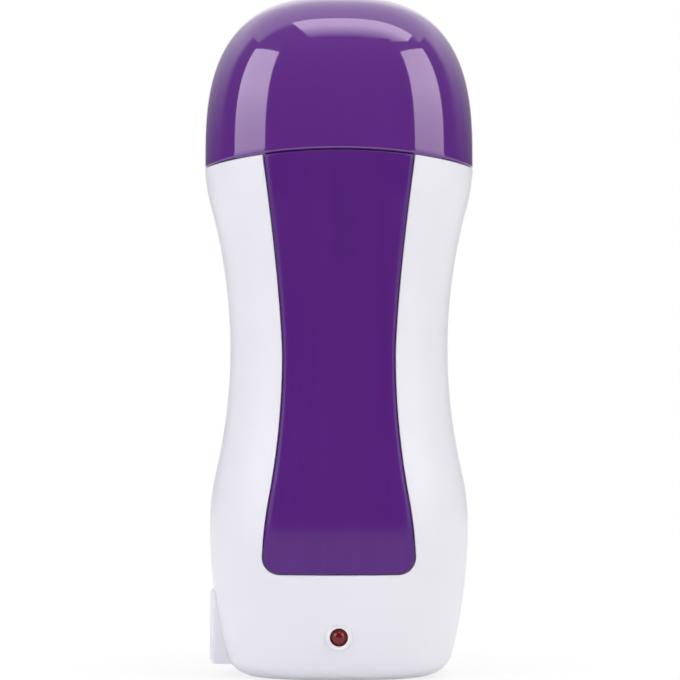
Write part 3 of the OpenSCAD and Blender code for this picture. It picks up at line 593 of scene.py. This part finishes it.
def rear_section(share):
    """Section of the rear wall, laid in front of the parting plane, at that share of the turn."""

    def turn(z):
        return max(share * math.pi / 2, parting_turn(z) if share > 0 else 0)

    rows = foot_edge(FOOT_R) + [(z, 0) for z in spread(FOOT_R, BODY_TOP - EDGE, 100)] + [(BODY_TOP, EDGE)]
    edge = PART_EDGE if share == 0 else 0
    return closed([left(z, turn(z), inset + edge) for z, inset in rows], turn)


def rear_wall():
    sections = [rear_section(share) for share in (*columns(REAR_COLS), 1)]
    *half, middle = [[(x, -y, z) for x, y, z in section] for section in sections]
    return both_sides(half, middle)


def wall_core():
    """Solid that reaches to the middle of the wall, to which posts and ribs are cut."""
    inset, steps = SHELL_WALL / 2, 96
    rows = []
    for z in [inset, *spread(inset, FOOT_R, 4), *spread(FOOT_R, SHOULDER_Z, 40)]:
        draw = inset + max(0, FOOT_R - z)
        w, d = half_w(z) - draw, half_d(z) - draw
        rows.append([(*oval(w, d, math.tau * j / steps), z) for j in range(steps)])
    return wrapped(rows)


def stepped(profile, x, z, place=forwards):
    """Rod along Y at (x, z), turned from points of (radius, distance from the middle plane)."""
    return lathe([(0, profile[0][1]), *profile, (0, profile[-1][1])], place(x, 0, z), 32)


def turned(radius, low, high, x, z, draft=0.0):
    """Straight or drafted rod along Y at (x, z), in front of the middle plane."""
    return stepped([(radius, low), (radius + draft, high)], x, z)


def stadium(w, h, steps=16):
    """Outline of an upright oval with straight sides and round ends."""
    r = w / 2
    turns = [math.pi * i / steps for i in range(steps + 1)]
    top = [(r * math.cos(t), h / 2 - r + r * math.sin(t)) for t in turns]
    return top + [(-u, -v) for u, v in top]


def inlet_hole():
    outline = stadium(HOLE_W, HOLE_H)
    return prism(outline, -INLET_X - PAST, -BOSS_BACK_X + PAST, lambda u, v, h: (h, u, INLET_Z + v))


def rectangle(low, high):
    """Corners of a rectangle, turning left from its lower left corner."""
    return [low, (high[0], low[1]), high, (low[0], high[1])]


def rounded(low, high, r, steps=8):
    """Rectangle from one corner to the other with rounded corners."""
    lower_left, lower_right, upper_right, upper_left = rectangle(
        (low[0] + r, low[1] + r), (high[0] - r, high[1] - r))
    outline = []
    for quarters, (x, y) in enumerate([upper_right, upper_left, lower_left, lower_right]):
        turns = [math.pi / 2 * (quarters + k / steps) for k in range(steps + 1)]
        outline += [(x + r * math.cos(t), y + r * math.sin(t)) for t in turns]
    return outline


def boss_side():
    """Side outline of the boss: rounded below, its top running into the body in a hollow fillet."""
    low, top = INLET_Z - BOSS_H / 2, INLET_Z + BOSS_H / 2
    fillet = [
        (-INLET_X + BOSS_FILLET * math.sin(t), top + BOSS_FILLET - BOSS_FILLET * math.cos(t))
        for t in quarter(14)
    ]
    lower = [
        (-INLET_X + BOSS_R - BOSS_R * math.cos(t), low + BOSS_R - BOSS_R * math.sin(t))
        for t in quarter(8)
    ]
    return fillet + [(-BOSS_BACK_X, top + BOSS_FILLET), (-BOSS_BACK_X, low)] + lower[::-1]


def boss(front):
    """Half of the boss, with the inlet's hole in it."""
    side = prism(boss_side(), -BOSS_HW, BOSS_HW, lambda u, v, h: (u, h, v))
    plan = rounded((-INLET_X, -BOSS_HW), (-BOSS_BACK_X + PAST, BOSS_HW), BOSS_R)
    plan = prism(plan, 0, INLET_Z + BOSS_H, upright)
    whole = cut(cut(side, [plan], "INTERSECT"), [inlet_hole()])
    near, far = (-BOSS_HW - PAST, -BOSS_LINE) if front else (BOSS_LINE, BOSS_HW + PAST)
    half = prism(rectangle((-INLET_X - PAST, near), (0, far)), -PAST, INLET_Z + BOSS_H + PAST, upright)
    return cut(whole, [half], "INTERSECT")


RING_Y = surface_y(0, LAMP_Z) + RING_RISE
LAMP_BACK_Y = RING_Y + LAMP_PROUD - LAMP_L - FLANGE_T


def lamp_ring():
    """Raised ring round the lamp, rounded on its outer edge."""
    hole, edge, chamfer = RING_HOLE_R, RING_EDGE, RING_CHAMFER
    brim = [(RING_R - edge + edge * math.cos(t), -edge + edge * math.sin(t)) for t in quarter(6)]
    profile = [(hole, -RING_DEPTH), (RING_R, -RING_DEPTH), *brim, (hole + chamfer, 0), (hole, -chamfer)]
    return lathe(profile, forwards(0, -RING_Y, LAMP_Z))


def inner_ribs(side):
    """Ribs under the chamber's pad and webs beside the lower posts; a side of -1 is the front."""
    reach, rib_z = BELLY_D / 2, CHAMBER_Z - PAD_T
    gusset = [(RIB_REACH, 0), (RIB_REACH, -RIB_TIP), (reach - 1, -RIB_H), (reach, -RIB_H), (reach, 0)]
    post_x, post_z = SCREWS[-1]
    web = [(post_x, WEB_INNER_Y), (post_x, reach), (BELLY_W / 2, reach), (BELLY_W / 2, WEB_OUTER_Y)]
    ribs = []
    for s in (-1, 1):
        ribs.append(prism(gusset, s * RIB_X - RIB_T / 2, s * RIB_X + RIB_T / 2,
                          lambda u, v, h: (h, side * u, rib_z + v)))
        ribs.append(prism(web, post_z - RIB_T / 2, post_z + RIB_T / 2,
                          lambda u, v, h: (s * u, side * v, h)))
    return ribs


def board_posts():
    """Stand-offs behind the lamp, each with a peg through the lamp board."""
    back, front = LAMP_BACK_Y, LAMP_BACK_Y + FOOT_D / 4
    profile = [(BOARD_PEG_R, back - BOARD_T - PEG_END), (BOARD_PEG_R, back), (STAND_OFF_R, back),
               (STAND_OFF_R + POST_DRAFT, front)]
    return [stepped(profile, x, LAMP_Z) for x in (-BOARD_PEG_X, BOARD_PEG_X)]


def panel_peg_hole(x, z):
    return turned(PEG_R + PANEL_BACK_GAP, surface_y(x, z, PANEL_RECESS) - PEG_L, BELLY_D, x, z)


def front_shell():
    posts = [turned(POST_R, 0, BELLY_D / 2, x, z, POST_DRAFT) for x, z in SCREWS]
    inner = joined([*posts, *inner_ribs(-1), *board_posts()])
    inner = cut(wall_core(), [inner], "INTERSECT", overlap=True)
    holes = [turned(POST_HOLE_R, -PAST, POST_HOLE_L, x, z) for x, z in SCREWS]
    holes += [panel_peg_hole(x, z) for x, z in PEG_PLACES]
    holes += [turned(FLANGE_HOLE_R, *FLANGE_HOLE_Y, 0, LAMP_Z), inlet_hole()]
    wall = cut(front_wall(), [inner], "UNION")
    return joined([cut(wall, [joined(holes)]), lamp_ring(), boss(True)])


def rear_shell():
    step, reach = HEAD_SEAT_Y - SLEEVE_FLOOR, BELLY_D / 2
    post = [(POST_R, 0), (POST_R + POST_DRAFT / 4, step), (SLEEVE_R, step), (SLEEVE_R, reach)]
    bore = [(SHANK_HOLE_R, -PAST), (SHANK_HOLE_R, HEAD_SEAT_Y), (HEAD_HOLE_R, HEAD_SEAT_Y),
            (HEAD_HOLE_R, BELLY_D)]
    posts = [stepped(post, x, z, backwards) for x, z in SCREWS]
    inner = cut(wall_core(), [joined([*posts, *inner_ribs(1)])], "INTERSECT", overlap=True)
    bores = [stepped(bore, x, z, backwards) for x, z in SCREWS]
    wall = cut(rear_wall(), [inner], "UNION")
    return joined([cut(wall, [joined([*bores, inlet_hole()])]), boss(False)])


piece("front_housing", front_shell(), "housing", "white_shell", "front_shell")
piece("rear_housing", rear_shell(), "housing", "white_shell", "rear_shell")

# ---- Front panel ----


def panel_grid(grow, inset, cols=40, rows=90):
    """Grid of points over the panel's outline grown by grow, one row per height."""
    low, high = PANEL_Z + PANEL_R, SEAM_Z + grow
    r, top_r = PANEL_R + grow, PANEL_TOP_R + PANEL_GAP + grow
    heights = [low - r * math.cos(t) for t in quarter(10)[:-1]]
    heights += [low] + spread(low, high - top_r, rows)
    heights += [high - top_r * (1 - math.sin(t)) for t in quarter(8)[1:]]

    def hw(z):
        return panel_hw(z, grow) - drawn_in(top_r, z - (high - top_r))

    shares = [2 * j / cols - 1 for j in range(cols + 1)]
    return [[panel_point(hw(z) * share, z, inset) for share in shares] for z in heights]


def rim(grid):
    """Closed loop of points round a grid: its left side, lowest row, right side and top row."""
    left_side = [row[0] for row in reversed(grid)]
    right_side = [row[-1] for row in grid]
    return left_side + grid[0][1:-1] + right_side + grid[-1][-2:0:-1]


def sheet_faces(grid, base):
    """Faces of a grid of points whose numbers begin at base."""
    m = len(grid[0])
    return [(base + i * m + j, base + i * m + j + 1, base + (i + 1) * m + j + 1, base + (i + 1) * m + j)
            for i in range(len(grid) - 1) for j in range(m - 1)]


def band_faces(count, base):
    """Faces between two loops of count points each, whose numbers begin at base."""
    return [(base + i, base + (i + 1) % count, base + count + (i + 1) % count, base + count + i)
            for i in range(count)]


def panel_peg(x, z):
    low, high = surface_y(x, z, PANEL_RECESS + PEG_L), surface_y(x, z, PANEL_RECESS - PEG_ROOT)
    return turned(PEG_R, low, high, x, z)


def front_panel():
    """Curved plate with a soft bevel all round its front, and four pegs behind it."""
    rings = [(-PANEL_FOOT_GAP, PANEL_RECESS - PANEL_BACK_GAP)]
    for t in (0, 0.2, 0.4, 0.6, 0.8, 1):
        rings.append((-PANEL_GAP - PANEL_BEVEL * t, -PANEL_RISE + PANEL_DROP * (1 - t) ** 1.5))
    grids = [panel_grid(*ring) for ring in rings]
    points, faces = [], []
    for grid in (grids[0], grids[-1]):
        faces += sheet_faces(grid, len(points))
        points += [p for row in grid for p in row]
    loops = [rim(grid) for grid in grids]
    for inner, outer in zip(loops, loops[1:]):
        faces += band_faces(len(inner), len(points))
        points += [*inner, *outer]
    return joined([mesh_of(points, faces), *(panel_peg(x, z) for x, z in PEG_PLACES)])


piece("panel", front_panel(), "housing", "panel", "front_panel", sharp=30)

# ---- Cap and collar ----


def cap_point(z, a, inset, top):
    """Point of the cap at nominal height z, in a dome that ends at height top."""
    share = max(0, (CAP_SEAT_Z - z) / (CAP_SEAT_Z - SEAM_Z))
    h = z - seam_fall(oval(SHOULDER_W / 2, 1, a)[0]) * share
    g, low = dome(h, top), min(h, SHOULDER_Z)
    return (*oval((half_w(low) - inset) * g, (half_d(low) - inset) * g, a), h)


def dome_heights(count, top):
    """Heights up a dome from the collar's top on, crowding towards its own top."""
    start = math.asin(((CAP_SEAT_Z - SHOULDER_Z) / (top - SHOULDER_Z)) ** (DOME_N / 2))
    turns = spread(start, math.pi / 2, count)
    return [SHOULDER_Z + (top - SHOULDER_Z) * math.sin(t) ** (2 / DOME_N) for t in turns]


def cap_rib(a, foot=3.6, top=1.5, root=1.2, rise=20, thick=1.2):
    """Rib inside the cap that stands on the collar; its foot, top and root are insets from outside."""
    rows = []
    for t in (0, 0.25, 0.5, 0.75, 1):
        z = CAP_SEAT_Z + rise * t
        inner = Vector(cap_point(z, a, foot + (top - foot) * t, TOTAL_H))
        outer = Vector(cap_point(z, a, root, TOTAL_H))
        across = Vector((-math.sin(a), math.cos(a), 0)) * thick / 2
        rows.append([inner - across, outer - across, outer + across, inner + across])
    return wrapped(rows)


def cap(edge=0.15, lip_inset=0.5, lip_edge=0.1, cols=160):
    """Domed cap with a lip inside its rim that closes the view through the seam."""
    rim_z, lip_z, inner_top = SEAM_Z + SEAM_GAP / 2, SEAM_Z, TOTAL_H - CAP_WALL
    outer = [(lip_z, lip_inset + lip_edge), (lip_z + lip_edge / 2, lip_inset), (rim_z, lip_inset)]
    outer += [(rim_z, edge), (rim_z + 0.3 * edge, 0.3 * edge), (rim_z + edge, 0)]
    outer += [(z, 0) for z in spread(rim_z + edge, CAP_SEAT_Z, 8) + dome_heights(44, TOTAL_H)]
    inner = [(z, CAP_WALL) for z in (lip_z, CAP_SEAT_Z, *dome_heights(20, inner_top))]
    rows = [
        [cap_point(z, a, inset, TOTAL_H) for z, inset in outer]
        + [cap_point(z, a, inset, inner_top) for z, inset in reversed(inner)]
        for a in (math.tau * i / cols for i in range(cols))
    ]
    ribs = [cap_rib(math.tau * (i + 0.5) / 8) for i in range(8)]
    return joined([wrapped(rows, ring=True), *ribs])


def mouth_point(a, z, grow=0.0):
    """Point of the well's mouth: its straight sides take a share of the turn, its ends the rest."""
    r, flat = WELL_D / 2 + grow, (WELL_W - WELL_D) / 2
    share, c = MOUTH_FLAT_TURN, abs(math.cos(a))
    turn = math.acos(max(0, c - share) / (1 - share))
    x = flat * c / share if c < share else flat + r * math.cos(turn)
    return (math.copysign(x, math.cos(a)), math.copysign(r * math.sin(turn), math.sin(a)), z)


def collar_point(z, a, inset):
    g, h = dome(z, TOTAL_H), min(z, SHOULDER_Z)
    return (*oval(half_w(h) * g - inset, half_d(h) * g - inset, a), z)


def collar(cols=160):
    """Collar round the deck, and the deck with the well's mouth in it."""
    outer, inner, edge, under = COLLAR_INSET, COLLAR_INSET + COLLAR_WALL, COLLAR_EDGE, DECK_TOP - DECK_T
    walls = [(z, outer) for z in (COLLAR_Z, SHOULDER_Z, *spread(SHOULDER_Z, COLLAR_TOP - edge, 4))]
    walls += [(COLLAR_TOP - edge * 0.3, outer + edge * 0.3), (COLLAR_TOP, outer + edge)]
    walls += [(COLLAR_TOP, inner - edge), (COLLAR_TOP - edge, inner)]
    walls += [(DECK_TOP + edge, inner), (DECK_TOP, inner + edge)]
    mouth = [(DECK_TOP, MOUTH_EDGE), (DECK_TOP - 0.3 * MOUTH_EDGE, 0.3 * MOUTH_EDGE),
             (DECK_TOP - MOUTH_EDGE, 0), (under, 0)]
    rows = [
        [collar_point(z, a, inset) for z, inset in walls]
        + [mouth_point(a, z, grow) for z, grow in mouth]
        + [collar_point(z, a, inner) for z in (under, COLLAR_Z)]
        for a in (math.tau * (i + 0.5) / cols for i in range(cols))
    ]
    return wrapped(rows, ring=True)


piece("cap_dome", cap(), "cap", "cap_plastic", "cap")
piece("collar", collar(), "housing", "collar_plastic", "top_collar")

# ---- Lamp and screws ----


def lamp_wire(x, sunk=0.2):
    profile = [(0, -LAMP_WIRE_L), (LAMP_WIRE_R, -LAMP_WIRE_L), (LAMP_WIRE_R, sunk), (0, sunk)]
    return lathe(profile, forwards(x, -LAMP_BACK_Y, LAMP_Z), 16)


def lamp():
    """Round-nosed lens with its flange and its two wires."""
    nose_z = FLANGE_T + LAMP_L - LAMP_R
    nose = [(LAMP_R * math.cos(t), nose_z + LAMP_R * math.sin(t)) for t in quarter(16)]
    profile = [(0, 0), (FLANGE_R, 0), (FLANGE_R, FLANGE_T), (LAMP_R, FLANGE_T), *nose]
    lens = lathe(profile, forwards(0, -LAMP_BACK_Y, LAMP_Z))
    return joined([lens, lamp_wire(-LAMP_WIRE_X), lamp_wire(LAMP_WIRE_X)])


def screw(x, z):
    """Pan-head screw with a cross in its head, its point towards the front."""
    place = backwards(x, HEAD_SEAT_Y, z)
    brim = HEAD_H - HEAD_DOME
    head = [(HEAD_R * math.cos(t), brim + HEAD_DOME * math.sin(t)) for t in quarter(6)]
    profile = [(0, -SCREW_L), (SCREW_TIP_R, -SCREW_L), (SCREW_R, -SCREW_L + SCREW_TIP),
               (SCREW_R, 0), (HEAD_R, 0), *head]
    bars = [prism(rectangle((-u / 2, -v / 2), (u / 2, v / 2)), HEAD_H - CROSS_DEPTH, HEAD_H + PAST, place)
            for u, v in ((CROSS_L, CROSS_W), (CROSS_W, CROSS_L))]
    return cut(lathe(profile, place, 48), bars)


piece("lamp", lamp(), "housing", "lamp_lens", "indicator_lamp")
piece("screws", joined([screw(x, z) for x, z in SCREWS]), "housing", "steel", "housing_screws")

# ---- Leads ----


def smooth(points, steps=6):
    """Smooth path through the points."""
    p = [Vector(q) for q in points]
    out = []
    for i in range(len(p) - 1):
        a, b, c, d = p[max(0, i - 1)], p[i], p[i + 1], p[min(len(p) - 1, i + 2)]
        for t in (k / steps for k in range(steps)):
            out.append(b + t * (c - a) / 2 + t * t * (a - 2.5 * b + 2 * c - d / 2)
                       + t**3 * (-a / 2 + 1.5 * b - 1.5 * c + d / 2))
    return out + [p[-1]]


def tube(points, r, sides=16):
    """Round tube along a smooth path."""
    path = smooth(points)
    side = Vector((1, 1, 0)).normalized()
    turns = [math.tau * j / sides for j in range(sides)]
    rows = []
    for i, centre in enumerate(path):
        run = path[min(len(path) - 1, i + 1)] - path[max(0, i - 1)]
        u = run.cross(side).normalized()
        v = u.cross(run).normalized()
        rows.append([centre + r * (math.cos(t) * u + math.sin(t) * v) for t in turns])
    return wrapped(rows)


def bent(point, x, y, z):
    """The point moved by so many bends along each axis; a bend is the radius that suits a lead."""
    return Vector(point) + BEND * Vector((x, y, z))


def live_lead():
    """Lead from the upper pin, up a lane beside the heater, to the fuse."""
    start, end = (PIN_END_X, 0, INLET_Z + PIN_HALF_PITCH), (0, FUSE_Y, FUSE_Z - FUSE_HALF - FUSE_WIRE)
    low, middle, high = [(-LANE_X, LANE_Y, z) for z in (CHAMBER_Z, HEATER_Z, HEATER_Z + STACK_H / 2)]
    return tube([start, bent(start, 1, 0.3, 0), bent(low, -0.5, -3.5, -4.3), bent(low, -0.8, -0.5, 0),
                 bent(middle, 0, 0, -0.7), bent(high, 0.8, 0, 0), bent(end, -1, 0.2, -1.5), end], LEAD_R)


def fuse_lead():
    """Lead from the fuse down to the inner plate's tab."""
    start = (0, FUSE_Y, FUSE_Z + FUSE_HALF + FUSE_WIRE)
    beside = (0, FUSE_Y, FUSE_Z - FUSE_HALF)
    end = (TAB_X, HEATER_Y + INNER_TAB_Y, HEATER_Z + STACK_H / 2 + 0.4 * TAB_L)
    return tube([start, bent(start, 0, 0, 0.7), bent(start, 1.7, 0.1, 0.5), bent(start, 3, 0, -1.5),
                 bent(beside, 3.2, -0.2, 0), bent(end, 0.2, 0, 2), end], LEAD_R)


def neutral_lead():
    """Lead from the lower pin up to the outer plate's tab."""
    start, inlet = (PIN_END_X, 0, INLET_Z - PIN_HALF_PITCH), (0, 0, INLET_Z)
    end = (TAB_X, HEATER_Y + OUTER_TAB_Y, HEATER_Z - STACK_H / 2 - 0.5 * TAB_L)
    return tube([start, bent(start, 1, 0.2, 0), bent(inlet, -2.7, 2, -1.9), bent(inlet, 0.7, 5, -0.5),
                 bent((TAB_X, LANE_Y, CHAMBER_Z), -0.2, -0.3, -4.7), bent(end, 0, 0.1, -2), end], LEAD_R)


def lamp_leads():
    """Two leads from the pins to the lamp board."""
    board_y = BOARD_T - LAMP_BACK_Y + LEAD_GAP
    end_x, end_y = PIN_END_X - BEND / 2, -PIN_ROOT_R - LEAD_GAP - LAMP_LEAD_R
    lamp_axis = (0, 0, LAMP_Z)
    tubes = []
    for s in (-1, 1):
        start = (s * BEND, board_y + LAMP_LEAD_R, LAMP_Z + s * BEND / 2)
        end = (end_x, end_y, INLET_Z + s * PIN_HALF_PITCH)
        tubes.append(tube([start, bent(start, 0, 1, 0), bent(lamp_axis, s / 3 - 2, -2.7, 1.3 * (s - 1)),
                           bent(lamp_axis, s / 3 - 4, -1.7, 1.7 * s - 0.9), end], LAMP_LEAD_R))
    return joined(tubes)


piece("live_lead_wire", live_lead(), "housing", "brown_lead", "live_lead")
piece("fuse_lead_wire", fuse_lead(), "housing", "brown_lead", "fuse_lead")
piece("neutral_lead_wire", neutral_lead(), "housing", "blue_lead", "neutral_lead")
piece("lamp_leads_wire", lamp_leads(), "housing", "black_lead", "lamp_leads")

# ---- Carried-over solids ----

KEPT = {
    "heating_chamber": "aluminium",
    "chamber_pad": "silicone",
    "heating_tiles": "ceramic",
    "inner_electrode": "brass",
    "outer_electrode": "brass",
    "insulating_sleeve": "film",
    "heater_clamp": "steel",
    "clamp_screws": "steel",
    "thermal_fuse": "fuse_case",
    "fuse_clip": "steel",
    "lamp_board": "board",
    "dropper_resistor": "resistor_case",
    "rectifier_diode": "diode_case",
    "power_inlet": "black_plastic",
    "inlet_pins": "pin_metal",
}
for node, slot in KEPT.items():
    for place in NODES[node].material_slots:
        place.material = MATERIALS[slot]

# ---- Studio ----

# Metres from the middle of the foot, and degrees from the front towards the right
BOX_DISTANCE, BOX_LOW, BOX_HIGH = 0.9, 0.02, 1.02
FLAG_R, FLAG_TOP, FLAG_TURN = 0.7, 1.15, 38
ROOM_R, ROOM_TOP = 1.15, 1.4
BACK_TURN = 162  # at which the bright back wall begins
TOP_BOX_Z = 1.19
FILL_Y, FILL_Z = 0.02 - FLAG_R, 0.26
SHADOW_IN, SHADOW_OUT = 0.03, 0.09  # the floor's shadow fades out between these distances
WHITE = (1, 1, 1)


def stage_mesh(name, points, faces, material):
    """Sheet of the studio, in metres."""
    mesh = bpy.data.meshes.new(name)
    mesh.from_pydata(points, [], faces)
    mesh.materials.append(material)
    obj = bpy.data.objects.new(name, mesh)
    bpy.context.scene.collection.objects.link(obj)
    return obj


def combined(tree, operation, first, second):
    """Result of a maths operation on two values, kept between 0 and 1."""
    node = tree.nodes.new("ShaderNodeMath")
    node.operation = operation
    node.use_clamp = True
    tree.links.new(first, node.inputs[0])
    tree.links.new(second, node.inputs[1])
    return node.outputs[0]


def mixed(tree, share, first, second):
    """Shader that turns from the first to the second with the share."""
    node = tree.nodes.new("ShaderNodeMixShader")
    tree.links.new(share, node.inputs["Fac"])
    tree.links.new(first.outputs[0], node.inputs[1])
    tree.links.new(second.outputs[0], node.inputs[2])
    return node.outputs[0]


def seen_plain(tree):
    """1 where the camera, gloss or glass looks, else 0."""
    rays = tree.nodes.new("ShaderNodeLightPath").outputs
    straight = combined(tree, "ADD", rays["Is Camera Ray"], rays["Is Glossy Ray"])
    return combined(tree, "ADD", straight, rays["Is Transmission Ray"])


def floor_material():
    """Pale floor that shows as white and keeps a soft shadow near the object."""
    material = bpy.data.materials.new("floor")
    material.use_nodes = True
    tree = material.node_tree
    shader = tree.nodes["Principled BSDF"]
    shader.inputs["Base Color"].default_value = (0.88, 0.88, 0.88, 1)
    shader.inputs["Roughness"].default_value = 0.9
    white = tree.nodes.new("ShaderNodeEmission")
    distance = length_of(tree, tree.nodes.new("ShaderNodeTexCoord").outputs["Object"])
    share = map_range(tree, distance, SHADOW_IN, SHADOW_OUT, 0.8, 1.0)
    share = combined(tree, "MULTIPLY", share, seen_plain(tree))
    surface = tree.nodes["Material Output"].inputs["Surface"]
    tree.links.new(mixed(tree, share, shader, white), surface)
    return material


def studio_world():
    """White to the camera, to gloss and to glass, and a soft fill for the rest."""
    world = bpy.data.worlds.new("studio")
    bpy.context.scene.world = world
    world.use_nodes = True
    tree = world.node_tree
    fill, white = tree.nodes["Background"], tree.nodes.new("ShaderNodeBackground")
    for background, strength in ((fill, 0.6), (white, 1.0)):
        background.inputs["Color"].default_value = (*WHITE, 1)
        background.inputs["Strength"].default_value = strength
    surface = tree.nodes["World Output"].inputs["Surface"]
    tree.links.new(mixed(tree, seen_plain(tree), fill, white), surface)


def glowing(name):
    """Material that only gives off light, its node tree, its light and the place on the sheet."""
    material = bpy.data.materials.new(name)
    material.use_nodes = True
    tree = material.node_tree
    glow = tree.nodes.new("ShaderNodeEmission")
    tree.links.new(glow.outputs[0], tree.nodes["Material Output"].inputs["Surface"])
    split = tree.nodes.new("ShaderNodeSeparateXYZ")
    tree.links.new(tree.nodes.new("ShaderNodeTexCoord").outputs["Object"], split.inputs[0])
    return material, tree, glow, split.outputs


def room_paint(name, start, end):
    """Paint of the room, lighter further up and behind; its back begins from start to end along Y."""
    material, tree, glow, place = glowing(name)
    room = tree.nodes.new("ShaderNodeMix")
    front = map_range(tree, place["Z"], 0.1, 1.2, 0.08, 0.25)
    back = map_range(tree, place["Z"], 0.2, 1.0, 0.12, 1.05)
    tree.links.new(map_range(tree, place["Y"], start, end, 0.0, 1.0), room.inputs["Factor"])
    tree.links.new(front, room.inputs["A"])
    tree.links.new(back, room.inputs["B"])
    tree.links.new(room.outputs["Result"], glow.inputs["Strength"])
    return material


def soft_light(name, axis, start, end, dark, light, color=WHITE):
    """Cloth of a softbox, whose light runs from dark to light between start and end along the axis."""
    material, tree, glow, place = glowing(name)
    tree.links.new(map_range(tree, place[axis], start, end, dark, light), glow.inputs["Strength"])
    glow.inputs["Color"].default_value = (*color, 1)
    return material


def wall(name, radius, first, last, height, material, steps=48):
    """Upright curved wall from one azimuth to the other, which the camera sees through."""
    turns = [math.radians(first + (last - first) * i / steps) for i in range(steps + 1)]
    points = [(radius * math.sin(a), -radius * math.cos(a), z) for a in turns for z in (0, height)]
    faces = [(2 * i, 2 * i + 1, 2 * i + 3, 2 * i + 2) for i in range(steps)]
    stage_mesh(name, points, faces, material).visible_camera = False


def level_sheet(name, corners, z, material):
    """Level sheet with the given corners, which the camera sees through."""
    points = [(x, y, z) for x, y in corners]
    stage_mesh(name, points, [tuple(range(len(points)))], material).visible_camera = False


def square(half):
    return rectangle((-half, -half), (half, half))


def side_box(name, azimuth, width, radiance, color):
    """Upright softbox from the floor up, turned to the object, a little weaker near the floor."""
    a = math.radians(azimuth)
    middle = Vector((math.sin(a), -math.cos(a), 0)) * BOX_DISTANCE
    across = Vector((math.cos(a), math.sin(a), 0)) * width / 2
    points = [middle + side * across + Vector((0, 0, z)) for z in (BOX_LOW, BOX_HIGH) for side in (-1, 1)]
    cloth = soft_light(name, "Z", 0.1, 0.5, 0.5 * radiance, radiance, color)
    stage_mesh(name, points, [(0, 1, 3, 2)], cloth).visible_camera = False


def front_fill(radiance, width=0.6, height=0.5):
    """Weak light from the front, which brightens the front without showing in gloss."""
    light = bpy.data.lights.new("front_fill", "AREA")
    light.shape = "RECTANGLE"
    light.size, light.size_y = width, height
    light.energy = radiance * math.pi * width * height
    box = bpy.data.objects.new("front_fill", light)
    box.location = (0, FILL_Y, FILL_Z)
    box.rotation_euler = (math.pi / 2, 0, 0)
    box.visible_camera = False
    box.visible_glossy = False
    bpy.context.scene.collection.objects.link(box)


stage_mesh("floor", [(x, y, -0.2 * MM) for x, y in square(4)], [(0, 1, 2, 3)], floor_material())
studio_world()
wall_paint = room_paint("wall_paint", 0.1 * ROOM_R, 0.3 * ROOM_R)
wall("front_flag", FLAG_R, -FLAG_TURN, FLAG_TURN, FLAG_TOP, wall_paint)
wall("right_wall", ROOM_R, FLAG_TURN, BACK_TURN, ROOM_TOP, wall_paint)
wall("back_wall", ROOM_R, BACK_TURN, 360 - BACK_TURN, ROOM_TOP,
     soft_light("back_wall", "Z", start=0, end=1, dark=0.8, light=1.2))
wall("left_wall", ROOM_R, 360 - BACK_TURN, 360 - FLAG_TURN, ROOM_TOP, wall_paint)
level_sheet("ceiling", square(ROOM_R), ROOM_TOP, room_paint("ceiling_paint", -0.3, -0.1))
side_box("left_softbox", azimuth=-58, width=0.6, radiance=3.45, color=(0.98, 0.98, 1.0))
side_box("right_softbox", azimuth=59.5, width=0.58, radiance=3.15, color=(1.0, 0.99, 0.97))
level_sheet("top_softbox", [(-0.33, -0.12), (-0.2, -0.72), (0.45, -0.72), (0.75, -0.4), (0.75, -0.12)],
            TOP_BOX_Z, soft_light("top_softbox", "Y", start=-0.72, end=-0.34, dark=0.0, light=3.4))
front_fill(radiance=0.9)

# ---- Camera ----

VIEW_MM = 195.6  # height of the view at the middle of the foot
SENSOR_MM, CAMERA_X, CAMERA_DISTANCE, CAMERA_Z = 36, 0.3, 900, 95.7
camera_data = bpy.data.cameras.new("camera")
camera_data.sensor_width = SENSOR_MM
camera_data.lens = SENSOR_MM * CAMERA_DISTANCE / VIEW_MM
camera = bpy.data.objects.new("camera", camera_data)
camera.location = (CAMERA_X * MM, -CAMERA_DISTANCE * MM, CAMERA_Z * MM)
camera.rotation_euler = (math.pi / 2, 0, 0)
bpy.context.scene.collection.objects.link(camera)
bpy.context.scene.camera = camera
bpy.context.scene.view_settings.view_transform = "Standard"
